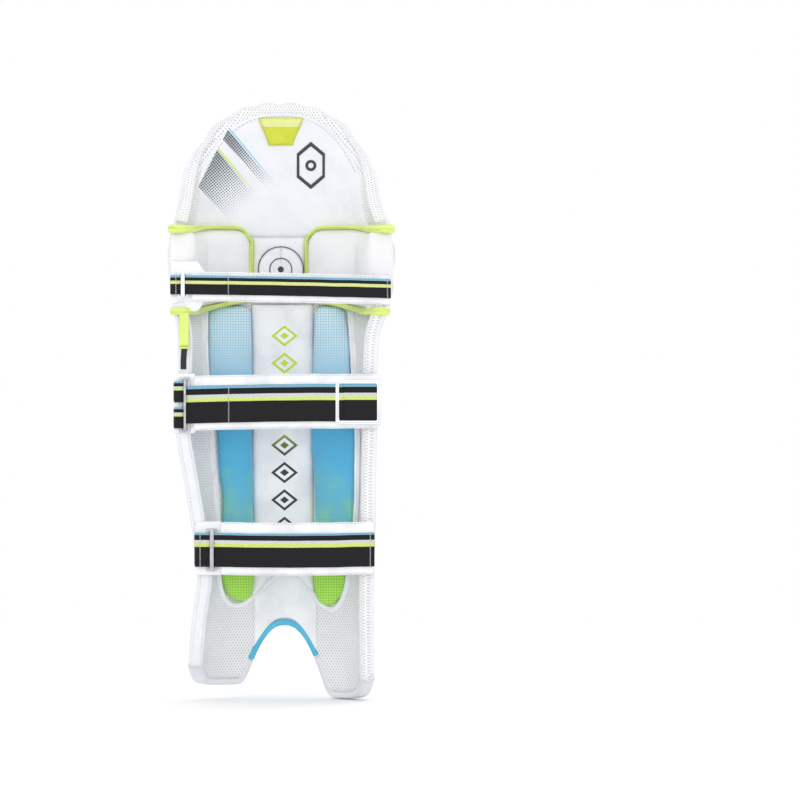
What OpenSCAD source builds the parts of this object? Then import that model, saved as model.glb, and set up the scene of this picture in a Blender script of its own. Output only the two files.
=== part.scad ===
// Cricket leg pad, stood upright.
// +Z is up, -Y is the leg side with the straps, +Y is the striking face.
// The origin is the centre of the knee, on the axis of the leg.

/* [Body] */
// Height of the crown of the top hat above the knee centre
crown_z = 178; // [165:1:190]
// Depth of the foot on the outer side, below the knee centre
outer_foot_z = 498; // [488:1:505]
// Depth of the foot on the inner side, below the knee centre
inner_foot_z = 514; // [500:1:520]
// Squareness of the arched section, 2 being an ellipse
arch_power = 2.5; // [2.2:0.1:2.8]
// Padding thickness over the shin
front_t = 24; // [20:1:28]
// Padding thickness at the edge of a wing
edge_t = 14; // [12:1:16]
// Thickness of the outer facing
skin_t = 1.5; // [1:0.1:2.5]
// Thickness of the mesh lining
lining_t = 2.2; // [1.5:0.1:3]
// Clearance between layers
gap = 0.3; // [0.2:0.05:0.5]
// Play of a filling inside its cover, and under a cushion
slack = 1.3; // [1.2:0.1:2]

/* [Face] */
// Outward bulge of a sewn channel
channel_bulge = 3; // [1:0.5:5]
// Outward bulge of a knee roll
roll_bulge = 14; // [8:1:18]
// Height of the top edge of the instep panel, below the knee centre
instep_top_z = 358; // [340:1:380]
// Height of the crown of the instep notch, below the knee centre
notch_top_z = 431; // [420:1:445]

/* [Leg side] */
// How far a shin bolster stands off the lining
shin_bolster_h = 17; // [10:1:20]
// How far a knee bolster stands off the lining
knee_bolster_h = 20; // [12:1:24]
// Radius of the white piping
piping_r = 2.8; // [2:0.1:4]

/* [Straps] */
// Height of the knee strap
knee_strap_w = 34; // [28:1:38]
// Height of the calf strap
calf_strap_w = 63; // [50:1:66]
// Height of the ankle strap
ankle_strap_w = 61; // [50:1:64]
// Thickness of a strap's backing
backing_t = 2.2; // [1.6:0.1:3]
// Thickness of the striped webbing
webbing_t = 1.6; // [1:0.1:2]
// Radius of a ring's bar
bar_r = 2; // [1.6:0.1:2.4]
// Distance between the two bars of a ring
ring_pitch = 9; // [9:0.5:12]

/* [Hidden] */

// Sections of the arch, bottom to top:
// height, outer half width, inner half width, y of the wing edges, y of the face
SECTIONS = [
    [-520, 107, 107, -8, 86],
    [-470, 106, 107, -12, 80],
    [-425, 102, 106, -18, 76],
    [-375, 94, 106, -23, 75],
    [-320, 101, 108, -26, 77],
    [-265, 110, 108, -28, 80],
    [-205, 121, 110, -28, 82],
    [-140, 118, 110, -27, 84],
    [-90, 117, 112, -25, 86],
    [-55, 126, 127, -24, 87],
    [0, 130, 131, -22, 88],
    [30, 126, 128, -12, 87],
    [60, 117, 115, 10, 84],
    [180, 117, 115, 38, 66]
];
// Seams of the shin face, as a fraction of the half width, outer side negative
SHIN_SEAMS = [-0.73, -0.51, -0.23, 0.05, 0.35, 0.64, 0.87];
// Seams of the top hat face
HAT_SEAMS = [-0.985, -0.77, -0.54, -0.28, -0.02, 0.27, 0.53, 0.78, 0.985];
instep_outer = -0.41;
instep_inner = 0.64;
binding_t = 3;
notch_x = 5;
// Straps: middle height, strap width, left end of the anchor, anchor bar, free end,
// width of the striped webbing, height of its middle above the strap's
KNEE = [-38, knee_strap_w, -126, -117.5, 128, 22, 1.7];
CALF = [-173, calf_strap_w, -122, -115, 116, 43, -1.7];
ANKLE = [-340, ankle_strap_w, -98, -84, 109, 39, -1.7];
white = "#edeef2";
mesh_white = "#e4e5e6";
foam = "#d8d3c4";
lime = "#dcf477";
blue = "#5bbfdd";
webbing_black = "#252124";
plastic_grey = "#8e8d94";

// ---------- the arch that every layer follows ----------

function station(k, z) = lookup(z, [for (s = SECTIONS) [s[0], s[k]]]);
function smooth(k, z) = (station(k, z - 14) + 2 * station(k, z) + station(k, z + 14)) / 4;

// Angle round the arch at a fraction f of the half width
function ang(f) = sign(f) * asin(pow(abs(f), arch_power / 2));

// Point at angle a and height z, t below the outer face
function arch(a, z, t) = let(
    p = 2 / arch_power,
    w = smooth(a < 0 ? 1 : 2, z) - t,
    edge = smooth(3, z),
    d = smooth(4, z) - edge - t
) [sign(a) * w * pow(abs(sin(a)), p), edge + d * pow(max(cos(a), 0), p), z];

// Angle at which the inner face lies at a given x
function inner_ang(x, z) = let(w = smooth(x < 0 ? 1 : 2, z) - edge_t - 4) ang(max(-1, min(1, x / w)));

// Padding thickness: full in front, thinner to the wing edges and in the top hat
function pad_t(a, z) = (front_t + (edge_t - front_t) * pow(abs(sin(a)), 3))
    * lookup(z, [[20, 1], [90, 0.75]]);

// A crowned profile, 1 in the middle and 0 at the borders
function crown(u, s, p = 3) = (1 - pow(abs(2 * u - 1), p)) * (1 - pow(abs(2 * s - 1), p));

function span(a0, a1, n) = [for (i = [0 : n]) a0 + (a1 - a0) * i / n];

// Angles across several seams, n steps in each channel
function across(seams, n) = concat(
    [for (i = [0 : len(seams) - 2]) for (k = [0 : n - 1])
        let(a0 = ang(seams[i]), a1 = ang(seams[i + 1])) a0 + (a1 - a0) * k / n],
    [ang(seams[len(seams) - 1])]
);

// Bulge of the channel that the angle a lies in
function channel(a, seams) = let(
    hits = [for (i = [0 : len(seams) - 2]) let(a0 = ang(seams[i]), a1 = ang(seams[i + 1]))
        if (a >= a0 - 0.01 && a <= a1 + 0.01) sin(180 * (a - a0) / (a1 - a0))]
) len(hits) == 0 ? 0 : channel_bulge * sqrt(max(0, hits[0]));

// Faces of a closed grid whose first half of points is the outer layer
function grid_faces(nc, nr) = let(
    n = nc * nr,
    at = function(i, j, k) k * n + i * nr + j
) concat(
    [for (i = [0 : nc - 2]) for (j = [0 : nr - 2]) each
        [[at(i, j, 0), at(i + 1, j, 0), at(i + 1, j + 1, 0)],
         [at(i, j, 0), at(i + 1, j + 1, 0), at(i, j + 1, 0)],
         [at(i, j, 1), at(i + 1, j + 1, 1), at(i + 1, j, 1)],
         [at(i, j, 1), at(i, j + 1, 1), at(i + 1, j + 1, 1)]]],
    [for (i = [0 : nc - 2]) each
        [[at(i + 1, 0, 0), at(i, 0, 0), at(i, 0, 1)],
         [at(i + 1, 0, 0), at(i, 0, 1), at(i + 1, 0, 1)],
         [at(i, nr - 1, 0), at(i + 1, nr - 1, 0), at(i + 1, nr - 1, 1)],
         [at(i, nr - 1, 0), at(i + 1, nr - 1, 1), at(i, nr - 1, 1)]]],
    [for (j = [0 : nr - 2]) each
        [[at(0, j, 0), at(0, j + 1, 0), at(0, j + 1, 1)],
         [at(0, j, 0), at(0, j + 1, 1), at(0, j, 1)],
         [at(nc - 1, j + 1, 0), at(nc - 1, j, 0), at(nc - 1, j, 1)],
         [at(nc - 1, j + 1, 0), at(nc - 1, j, 1), at(nc - 1, j + 1, 1)]]]
);

// A layer of the pad between two heights and two depths, all given as functions
module layer(columns, rows, low, high, t_out, t_in) {
    nc = len(columns);
    skin = function(depth) [for (i = [0 : nc - 1]) for (j = [0 : rows])
        let(a = columns[i], s = j / rows, z = low(a) + s * (high(a) - low(a)))
        arch(a, z, depth(a, z, i / (nc - 1), s))];
    polyhedron(points = concat(skin(t_out), skin(t_in)), faces = grid_faces(nc, rows + 1));
}

// ---------- edges of the regions ----------

// Seam heights of the knee, each a shallow arc, highest over the shin
function arc_z(mid, side) = function(a) side + (mid - side) * cos(a);
hat_seam = arc_z(62, 44);
roll_seam_1 = arc_z(29, 16);
roll_seam_2 = arc_z(-6, -24);
knee_seam = arc_z(-46, -57);
hat_top = function(a) 57 + (crown_z - 57) * cos(a);

// Lower edge of the pad: the instep notch between two rounded feet
sole = function(a) let(
    x = arch(a, -470, 0)[0],
    notch = -notch_top_z - 34 * pow(abs(x - notch_x) / 43, 2.3),
    foot = (x < 0 ? -outer_foot_z : -inner_foot_z) + 26 * pow(abs(sin(a)), 24)
) max(notch, foot) + binding_t;

constant = function(v) function(a) v;
// Lower edge of the layers that the sole binding closes, and of the fillings inside them
hem = function(a) sole(a) + gap;
filling_low = function(a) sole(a) + 3;

// Columns for the whole width, closer together over the notch
WHOLE = concat(span(-90, -29, 14), span(-26, 32, 15), span(35, 90, 11));

// Depth functions of the common layers
face_out = function(seams) function(a, z, u, s) -channel(a, seams) * pow(crown(0.5, s, 14), 0.5);
face_in = function(a, z, u, s) skin_t;
core_out = function(a, z, u, s) skin_t + slack;
core_in = function(a, z, u, s) pad_t(a, z) - lining_t - slack;
lining_out = function(a, z, u, s) pad_t(a, z) - lining_t;
lining_in = function(a, z, u, s) pad_t(a, z);
on_lining = function(a, z, u, s) pad_t(a, z) + slack;
raised = function(base, h, p) function(a, z, u, s) pad_t(a, z) + slack + base + h * crown(u, s, p);

// ---------- shin ----------

module shin_face() {
    columns = concat(
        across([-0.73, -0.51, instep_outer], 3),
        across([instep_outer + 0.01, -0.23, 0.05, 0.35, instep_inner - 0.01], 4),
        across([instep_inner, 0.87], 4)
    );
    low = function(a) (a > ang(instep_outer) + 0.1 && a < ang(instep_inner) - 0.1)
        ? -instep_top_z + gap : hem(a);
    high = function(a) knee_seam(a) - gap;
    color(white) layer(columns, 12, low, high, face_out(SHIN_SEAMS), face_in);
}

module shin_inserts() {
    for (i = [0 : len(SHIN_SEAMS) - 2]) {
        a0 = ang(SHIN_SEAMS[i]) + 0.5;
        a1 = ang(SHIN_SEAMS[i + 1]) - 0.5;
        over_instep = a1 > ang(instep_outer) && a0 < ang(instep_inner);
        low = function(a) over_instep ? -instep_top_z + 3 : filling_low(a);
        color(foam) layer(span(a0, a1, 4), 12, low, function(a) knee_seam(a0) - 2, core_out, core_in);
    }
}

module instep_panel() {
    columns = span(ang(instep_outer) + 1.2, ang(instep_inner) - 1.2, 16);
    puffed = function(a, z, u, s) -4 * pow(crown(u, s, 6), 0.5);
    color(white) layer(columns, 8, hem, constant(-instep_top_z), puffed, face_in);
}

module instep_foam() {
    columns = span(ang(instep_outer) + 2, ang(instep_inner) - 2, 14);
    color(foam) layer(columns, 8, filling_low, constant(-instep_top_z), core_out, core_in);
}

// ---------- wings below the knee ----------

module wing_cover(columns) {
    color(white) layer(columns, 14, hem, function(a) knee_seam(a) - gap, function(a, z, u, s) 0, face_in);
}

module wing_foam(columns) {
    color(foam) layer(columns, 14, filling_low, function(a) knee_seam(a) - 2, core_out, core_in);
}

module outer_wing_cover() {
    wing_cover(span(-90, ang(SHIN_SEAMS[0]) - 0.4, 8));
}

module outer_wing_foam() {
    wing_foam(span(-89, ang(SHIN_SEAMS[0]) - 0.8, 8));
}

module inner_wing_cover() {
    wing_cover(span(ang(0.87) + 0.4, 90, 6));
}

module inner_wing_foam() {
    wing_foam(span(ang(0.87) + 0.8, 89, 6));
}

module shin_lining() {
    color(mesh_white) layer(WHOLE, 14, hem, function(a) knee_seam(a) - gap, lining_out, lining_in);
}

// ---------- knee ----------

knee_side = 80;
roll_start = ang(-0.81);

module knee_roll(low, high) {
    bulge = function(a, z, u, s) -roll_bulge * sqrt(max(0, sin(180 * s))) * min(1, (1 - pow(u, 12)) + 0.3);
    color(white) layer(span(roll_start, knee_side, 16), 6, function(a) low(a) + gap, high, bulge, face_in);
}

module knee_roll_upper() {
    knee_roll(roll_seam_1, function(a) hat_seam(a) - gap);
}

module knee_roll_middle() {
    knee_roll(roll_seam_2, roll_seam_1);
}

module knee_roll_lower() {
    knee_roll(knee_seam, roll_seam_2);
}

// Cores of the knee pad, one behind each roll
module knee_roll_cores() {
    bands = [[knee_seam, roll_seam_2], [roll_seam_2, roll_seam_1], [roll_seam_1, hat_seam]];
    for (b = bands) {
        color(foam) layer(span(roll_start + 1, knee_side - 1, 12), 2,
            function(a) b[0](a) + 1.5, function(a) b[1](a) - 1.5,
            core_out, function(a, z, u, s) 7.5);
    }
}

module knee_base_foam() {
    color(foam) layer(span(-knee_side, knee_side, 16), 4,
        function(a) knee_seam(a) + 1, function(a) hat_seam(a) - 1,
        function(a, z, u, s) 9 + gap, lining_in);
}

module knee_wing() {
    color(white) layer(span(-knee_side, roll_start - 0.5, 4), 5,
        function(a) knee_seam(a) + gap, function(a) hat_seam(a) - gap,
        function(a, z, u, s) -5 * sqrt(max(0, sin(180 * s))), function(a, z, u, s) 8);
}

// ---------- top hat ----------

module top_hat_face() {
    color(white) layer(across(HAT_SEAMS, 4), 6, hat_seam, function(a) hat_top(a) - 1.5,
        face_out(HAT_SEAMS), face_in);
}

module top_hat_inserts() {
    for (i = [0 : len(HAT_SEAMS) - 2]) {
        a0 = ang(HAT_SEAMS[i]) + 0.6;
        a1 = ang(HAT_SEAMS[i + 1]) - 0.6;
        outer = abs(a0) > abs(a1) ? a0 : a1;
        color(foam) layer(span(a0, a1, 3), 4, function(a) hat_seam(a) + 1.5,
            function(a) hat_top(outer) - 4, core_out, core_in);
    }
}

// Mesh that backs the top hat and wraps round its rim
module top_hat_border() {
    columns = span(-84, 84, 20);
    color(mesh_white) layer(columns, 6, hat_seam, hat_top, lining_out, lining_in);
}

module top_hat_panel() {
    columns = span(-66, 66, 16);
    color(white) layer(columns, 6, function(a) hat_seam(a) - 6, function(a) hat_top(a) - 12,
        on_lining, raised(1.5, 3, 6));
}

module top_tag() {
    color(lime) layer(span(-4, 4, 2), 1, constant(129), constant(161),
        function(a, z, u, s) pad_t(a, z) + slack + 5, function(a, z, u, s) pad_t(a, z) + slack + 6.2);
}

// ---------- knee cushions ----------

module knee_cup() {
    columns = span(inner_ang(-34, 0), inner_ang(29, 0), 8);
    color(white) layer(columns, 6, constant(-50), constant(33), on_lining, raised(3, 7, 4));
}

// Plain round badge on the knee cup
module knee_badge() {
    y = arch(0, -16, pad_t(0, -16))[1] - 11.8;
    color(webbing_black) translate([0, y, -16]) rotate([90, 0, 0]) difference() {
        cylinder(h = 0.8, r = 27, $fn = 64);
        translate([0, 0, -1]) cylinder(h = 3, r = 26, $fn = 64);
    }
}

// A knee cushion lies on the inner face and covers the end of the wing
module knee_bolster(a_in, a_out, low, high) {
    side = sign(a_out);
    edge = knee_side + 1;
    columns = concat(
        span(a_in, side * (edge - 0.3), 8),
        span(side * edge, a_out, 2)
    );
    ordered = side > 0 ? columns : [for (i = [len(columns) - 1 : -1 : 0]) columns[i]];
    cover = function(a, z, u, s) abs(a) > knee_side + 0.85 ? -1 : pad_t(a, z) + slack;
    crowned = function(a, z, u, s) pad_t(a, z) + slack + 3 + (knee_bolster_h - 3) * crown(u, s, 3);
    color(white) layer(ordered, 6, constant(low), constant(high), cover, crowned);
}

module outer_knee_bolster() {
    knee_bolster(inner_ang(-38, 0), -90, -53, 29);
}

module inner_knee_bolster() {
    knee_bolster(inner_ang(33, 0), 90, -53, 29);
}

// Lime edging that closes the top and the bottom of a knee cushion
module knee_binding(a0, a1, low, high) {
    for (z = [[low - 4.3, low - gap], [high + gap, high + 5]]) {
        color(lime) layer(span(a0, a1, 6), 1, constant(z[0]), constant(z[1]),
            on_lining, raised(4, 0, 2));
    }
}

module outer_knee_binding() {
    knee_binding(-79, inner_ang(-40, 0), -53, 29);
}

module inner_knee_binding() {
    knee_binding(inner_ang(35, 0), 79, -53, 29);
}

// ---------- shin cushions ----------

module shin_cushion(x0, x1, low, high, h, tint) {
    columns = span(inner_ang(x0, -200), inner_ang(x1, -200), 6);
    color(tint) layer(columns, 10, constant(low), constant(high), on_lining, raised(2, h - 2, 3));
}

module outer_shin_bolster() {
    shin_cushion(-82, -38, -398, -68, shin_bolster_h, blue);
}

module inner_shin_bolster() {
    shin_cushion(43, 78, -398, -68, shin_bolster_h, blue);
}

module centre_bolster() {
    shin_cushion(-34, 39, -366, -66, shin_bolster_h - 5, white);
}

module instep_lining() {
    columns = span(inner_ang(-34, -430), inner_ang(46, -430), 14);
    high = function(a) -374 - 30 * min(1, abs(arch(a, -400, front_t)[0] - notch_x) / 20);
    color(white) layer(columns, 5, filling_low, high, on_lining, raised(1, 0.6, 4));
}

// A round bead along a path of [x, z] points on the lining
module bead(path, r) {
    sides = 6;
    at = function(p) arch(inner_ang(p[0], p[1]), p[1], pad_t(inner_ang(p[0], p[1]), p[1]) + r + slack + 2.5);
    centres = [for (p = path) at(p)];
    last = len(centres) - 1;
    points = [for (i = [0 : last]) let(
        d = centres[min(i + 1, last)] - centres[max(i - 1, 0)],
        n = cross(d, [0, 1, 0]) / norm(cross(d, [0, 1, 0])),
        b = cross(n, d) / norm(d)
    ) for (k = [0 : sides - 1]) centres[i] + r * (cos(60 * k) * n + sin(60 * k) * b)];
    walls = [for (i = [0 : last - 1]) for (k = [0 : sides - 1]) let(
        m = (k + 1) % sides, p = i * sides, q = p + sides
    ) each [[p + k, q + k, q + m], [p + k, q + m, p + m]]];
    ends = [[for (k = [0 : sides - 1]) k], [for (k = [sides - 1 : -1 : 0]) last * sides + k]];
    polyhedron(points = points, faces = concat(walls, ends));
}

// White bead: down beside one bolster, in a W below them, and up beside the other
BEAD_ROUTE = [
    [-86, -70], [-88, -140], [-87, -210], [-83, -280], [-77, -345], [-74, -385], [-68, -408],
    [-56, -415], [-38, -411], [-24, -398], [-10, -380], [4, -373], [20, -380], [34, -396],
    [48, -412], [60, -417], [75, -412], [85, -392], [90, -340], [91, -270], [91, -200], [90, -130],
    [88, -70]
];

module bolster_piping() {
    color(white) bead(BEAD_ROUTE, piping_r);
}

// ---------- bindings ----------

around_out = function(a, z, u, s) -1;
around_in = function(a, z, u, s) pad_t(a, z) + 1;

module sole_binding(columns, tint) {
    color(tint) layer(columns, 1, function(a) sole(a) - binding_t - 0.5, function(a) sole(a) - 1.6,
        around_out, around_in);
}

notch_a0 = ang(-0.4);
notch_a1 = ang(0.47);

module instep_piping() {
    sole_binding(span(notch_a0, notch_a1, 22), blue);
}

module outer_foot_binding() {
    sole_binding(span(-90, notch_a0 - 0.4, 22), white);
}

module inner_foot_binding() {
    sole_binding(span(notch_a1 + 0.4, 90, 22), white);
}

// Binding over the end of a wing, from the knee to the foot
module edge_binding(side) {
    rows = span(sole(side * 90) + 1, -62, 20);
    corner = function(z, t, back) let(p = arch(side * 90, z, t)) [p[0], p[1] - back, z];
    outer = [for (b = [gap, binding_t]) for (z = rows) corner(z, -1, b)];
    inner = [for (b = [gap, binding_t]) for (z = rows) corner(z, edge_t + 1, b)];
    points = side > 0 ? concat(inner, outer) : concat(outer, inner);
    color(white) polyhedron(points = points, faces = grid_faces(2, len(rows)));
}

module outer_edge_binding() {
    edge_binding(-1);
}

module inner_edge_binding() {
    edge_binding(1);
}

// ---------- straps ----------

patch_t = 1.6;
bore_r = bar_r + 0.3;
anchor_t = 1.8;
// Space that the binding under a strap takes; the knee strap lies on the cushions
KNEE_LIFT = 0;
WING_LIFT = binding_t;

// y of the surface that a strap is fastened to, and of the bars of its ring
function strap_base(s, lift) = min([for (k = [-0.5, 0, 0.5]) smooth(3, s[0] + k * s[1])]) - lift - gap;
function bar_y(s, lift) = strap_base(s, lift) - 2 * patch_t - gap - backing_t / 2;
function ring_x(s) = s[3] + ring_pitch;

// A block between two x, two y and centred on a height
module block(x, y, z_mid, height) {
    translate([x[0], y[0], z_mid - height / 2]) cube([x[1] - x[0], y[1] - y[0], height]);
}

// Plate sewn round a bar: a bored loop on the bar and a flat tail from it to x_end
module looped_plate(x_bar, y, x_end, t, z_mid, height) {
    side = sign(x_end - x_bar);
    near = x_bar + side * (bore_r + 0.6);
    difference() {
        union() {
            translate([x_bar, y, z_mid - height / 2]) cylinder(h = height, r = bore_r + t, $fn = 40);
            block([min(near, x_end), max(near, x_end)], [y - t / 2, y + t / 2], z_mid, height);
        }
        translate([x_bar, y, z_mid - height / 2 - 1]) cylinder(h = height + 2, r = bore_r, $fn = 40);
    }
}

module anchor(s, lift, folds) {
    y = bar_y(s, lift);
    for (f = folds) {
        z = s[0] + s[6] + f[0];
        color(webbing_black) {
            looped_plate(s[3], y, s[2], anchor_t - 0.2, z, f[1]);
            block([s[2], s[2] + 1.6], [y + anchor_t / 2 - 0.1, strap_base(s, lift)], z, f[1]);
        }
    }
}

// The ring is just taller than what hangs in it
module ring(s, lift, hung) {
    reach = hung / 2 + 1.2 + bar_r;
    color(plastic_grey) translate([0, bar_y(s, lift), s[0] + s[6]]) {
        for (x = [s[3], ring_x(s)]) {
            translate([x, 0, -reach]) cylinder(h = 2 * reach, r = bar_r, $fn = 32);
            for (z = [-reach, reach]) translate([x, 0, z]) sphere(r = bar_r, $fn = 32);
        }
        for (z = [-reach, reach])
            translate([s[3], 0, z]) rotate([0, 90, 0]) cylinder(h = ring_pitch, r = bar_r, $fn = 32);
    }
}

// White backing: its full height starts beside the ring, and only the loop goes round the bar
module strap(s, lift) {
    y = bar_y(s, lift);
    wide_from = ring_x(s) + bore_r + backing_t + 1.5;
    color(white) {
        looped_plate(ring_x(s), y, wide_from + 1, backing_t - 0.2, s[0] + s[6], s[5]);
        block([wide_from, s[4]], [y - backing_t / 2 + 0.1, y + backing_t / 2 - 0.1], s[0], s[1]);
    }
}

// Striped webbing sewn on the backing, and its end that folds back behind from the ring
module webbing(s, lift) {
    half_t = backing_t / 2 - 0.1;
    y = bar_y(s, lift);
    x0 = ring_x(s) + bore_r + backing_t;
    fold = [x0, x0 + 42];
    color(webbing_black) {
        block([x0, s[4] - 3], [y - half_t - webbing_t, y - half_t], s[0] + s[6], s[5]);
        block(fold, [y + half_t, y + half_t + webbing_t], s[0] + s[6], s[5]);
    }
}

// Where the free end fastens, over the inner wing
function patch_x(s) = [s[4] - 15, s[4] - 4];

module hook_patch(s, lift) {
    y = bar_y(s, lift) + backing_t / 2 - 0.1;
    color(white) block(patch_x(s), [y, y + patch_t], s[0], s[1] - 8);
}

module loop_patch(s, lift) {
    y = strap_base(s, lift);
    color(mesh_white) block(patch_x(s), [y - patch_t, y], s[0], s[1] - 6);
}

module knee_anchor() {
    anchor(KNEE, KNEE_LIFT, [[0, KNEE[5]]]);
}

module knee_ring() {
    ring(KNEE, KNEE_LIFT, KNEE[5]);
}

module knee_strap() {
    strap(KNEE, KNEE_LIFT);
}

module knee_webbing() {
    webbing(KNEE, KNEE_LIFT);
}

module knee_hook_patch() {
    hook_patch(KNEE, KNEE_LIFT);
}

module knee_loop_patch() {
    loop_patch(KNEE, KNEE_LIFT);
}

// The calf ring hangs in two narrow folds
calf_fold_h = 24;
calf_fold_offset = 15;

module calf_anchor() {
    anchor(CALF, WING_LIFT, [for (side = [-1, 1]) [side * calf_fold_offset, calf_fold_h]]);
}

module calf_ring() {
    ring(CALF, WING_LIFT, 2 * calf_fold_offset + calf_fold_h);
}

module calf_strap() {
    strap(CALF, WING_LIFT);
}

module calf_webbing() {
    webbing(CALF, WING_LIFT);
}

module calf_hook_patch() {
    hook_patch(CALF, WING_LIFT);
}

module calf_loop_patch() {
    loop_patch(CALF, WING_LIFT);
}

// Plain framed patch sewn over the free end of the calf strap
module calf_end_patch() {
    y = bar_y(CALF, WING_LIFT) - backing_t / 2 + 0.1 - webbing_t;
    color(white) block([CALF[4] - 53, CALF[4] - 1], [y - 1.2, y], CALF[0] - 1, 51);
}

module ankle_anchor() {
    anchor(ANKLE, WING_LIFT, [[0, ANKLE[5]]]);
}

module ankle_ring() {
    ring(ANKLE, WING_LIFT, ANKLE[5]);
}

module ankle_strap() {
    strap(ANKLE, WING_LIFT);
}

module ankle_webbing() {
    webbing(ANKLE, WING_LIFT);
}

module ankle_hook_patch() {
    hook_patch(ANKLE, WING_LIFT);
}

module ankle_loop_patch() {
    loop_patch(ANKLE, WING_LIFT);
}

// ---------- pull tab at the outer edge ----------

tab_x = [-117, -106];
tab_top = -70;
tab_join = -110;
tab_end = -134;
tab_y = smooth(3, -100) - binding_t - 3;

module pull_tab_sleeve() {
    color(lime) {
        translate([tab_x[0], tab_y, tab_top]) rotate([0, 90, 0])
            cylinder(h = tab_x[1] - tab_x[0], r = 1.9, $fn = 32);
        block(tab_x, [tab_y - 1.6, tab_y + 1.6], (tab_top + tab_join) / 2, tab_top - tab_join);
    }
}

module pull_tab_webbing() {
    color(webbing_black) block([tab_x[0] + 2.5, tab_x[1] - 2.5], [tab_y - 1, tab_y + 1],
        (tab_join + tab_end) / 2, tab_join - tab_end);
}

shin_face();
shin_inserts();
instep_panel();
instep_foam();
outer_wing_cover();
outer_wing_foam();
inner_wing_cover();
inner_wing_foam();
knee_wing();
knee_base_foam();
knee_roll_upper();
knee_roll_middle();
knee_roll_lower();
knee_roll_cores();
top_hat_face();
top_hat_inserts();
top_hat_border();
top_hat_panel();
top_tag();
shin_lining();
knee_cup();
knee_badge();
outer_knee_bolster();
inner_knee_bolster();
outer_knee_binding();
inner_knee_binding();
centre_bolster();
outer_shin_bolster();
inner_shin_bolster();
bolster_piping();
instep_lining();
instep_piping();
outer_foot_binding();
inner_foot_binding();
outer_edge_binding();
inner_edge_binding();
knee_anchor();
knee_ring();
knee_strap();
knee_webbing();
knee_hook_patch();
knee_loop_patch();
calf_anchor();
calf_ring();
calf_strap();
calf_webbing();
calf_hook_patch();
calf_loop_patch();
calf_end_patch();
ankle_anchor();
ankle_ring();
ankle_strap();
ankle_webbing();
ankle_hook_patch();
ankle_loop_patch();
pull_tab_sleeve();
pull_tab_webbing();
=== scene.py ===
import math

import bpy
import bmesh
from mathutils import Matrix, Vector, noise


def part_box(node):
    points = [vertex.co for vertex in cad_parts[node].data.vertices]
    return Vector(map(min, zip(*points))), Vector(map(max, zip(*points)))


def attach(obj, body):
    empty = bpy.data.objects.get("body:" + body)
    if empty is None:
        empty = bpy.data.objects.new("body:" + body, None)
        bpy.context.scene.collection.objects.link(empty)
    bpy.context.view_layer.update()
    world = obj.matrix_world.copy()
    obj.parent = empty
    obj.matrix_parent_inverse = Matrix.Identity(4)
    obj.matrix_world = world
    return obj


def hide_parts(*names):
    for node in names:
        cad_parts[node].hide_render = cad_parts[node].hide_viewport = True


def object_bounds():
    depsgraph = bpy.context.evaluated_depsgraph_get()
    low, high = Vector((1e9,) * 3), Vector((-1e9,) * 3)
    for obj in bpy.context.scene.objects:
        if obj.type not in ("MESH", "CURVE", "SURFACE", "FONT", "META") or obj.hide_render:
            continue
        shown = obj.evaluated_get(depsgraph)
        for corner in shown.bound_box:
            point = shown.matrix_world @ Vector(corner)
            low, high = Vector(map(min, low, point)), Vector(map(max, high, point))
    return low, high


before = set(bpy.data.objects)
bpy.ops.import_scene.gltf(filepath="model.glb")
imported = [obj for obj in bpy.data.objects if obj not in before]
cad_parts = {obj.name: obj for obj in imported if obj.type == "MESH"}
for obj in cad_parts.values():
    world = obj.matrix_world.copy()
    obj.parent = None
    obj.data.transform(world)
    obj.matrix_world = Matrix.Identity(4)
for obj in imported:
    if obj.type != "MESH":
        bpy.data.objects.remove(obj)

CAD_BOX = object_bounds()

# Cricket leg pad. Lengths in this script are millimetres unless a comment says otherwise,
# angles round the arch are degrees. -Y is the leg side, +Y the striking face, -X the outer side.
MM = 0.001

# ---------------------------------------------------------------- the arch of the pad
# Height, outer half width, inner half width, y of the wing edges, y of the face:
# the same sections as the frame was designed with.
PROFILE = [
    (-520, 107, 107, -8, 86), (-470, 106, 107, -12, 80), (-425, 102, 106, -18, 76),
    (-375, 94, 106, -23, 75), (-320, 101, 108, -26, 77), (-265, 110, 108, -28, 80),
    (-205, 121, 110, -28, 82), (-140, 118, 110, -27, 84), (-90, 117, 112, -25, 86),
    (-55, 126, 127, -24, 87), (0, 130, 131, -22, 88), (30, 126, 128, -12, 87),
    (60, 117, 115, 10, 84), (180, 117, 115, 38, 66),
]
OUTER_W, INNER_W, EDGE_Y, FACE_Y = 1, 2, 3, 4
ARCH_POWER = 2.5
FRONT_T = 24.0
EDGE_T = 14.0
CROWN_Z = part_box("top_hat_border")[1].z / MM
OUTER_FOOT_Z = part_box("outer_foot_binding")[0].z / MM
INNER_FOOT_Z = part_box("inner_foot_binding")[0].z / MM
NOTCH_TOP_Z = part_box("instep_piping")[1].z / MM
INSTEP_TOP_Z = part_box("instep_panel")[1].z / MM
NOTCH_X = 5.0
SHIN_SEAMS = [-0.73, -0.51, -0.23, 0.05, 0.35, 0.64, 0.87]
HAT_SEAMS = [-0.985, -0.77, -0.54, -0.28, -0.02, 0.27, 0.53, 0.78, 0.985]
HAT_END = 88.5
INSTEP_SIDES = (-0.41, 0.64)
KNEE_WING_SEAM = -0.81


def mix(a, b, f):
    return a + (b - a) * f


def clamp(v, lo=0.0, hi=1.0):
    return max(lo, min(hi, v))


def ease(v):
    v = clamp(v)
    return v * v * (3 - 2 * v)


def station(k, z):
    if z <= PROFILE[0][0]:
        return PROFILE[0][k]
    for low, high in zip(PROFILE, PROFILE[1:]):
        if z <= high[0]:
            return mix(low[k], high[k], (z - low[0]) / (high[0] - low[0]))
    return PROFILE[-1][k]


_smooth_cache = {}


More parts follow.
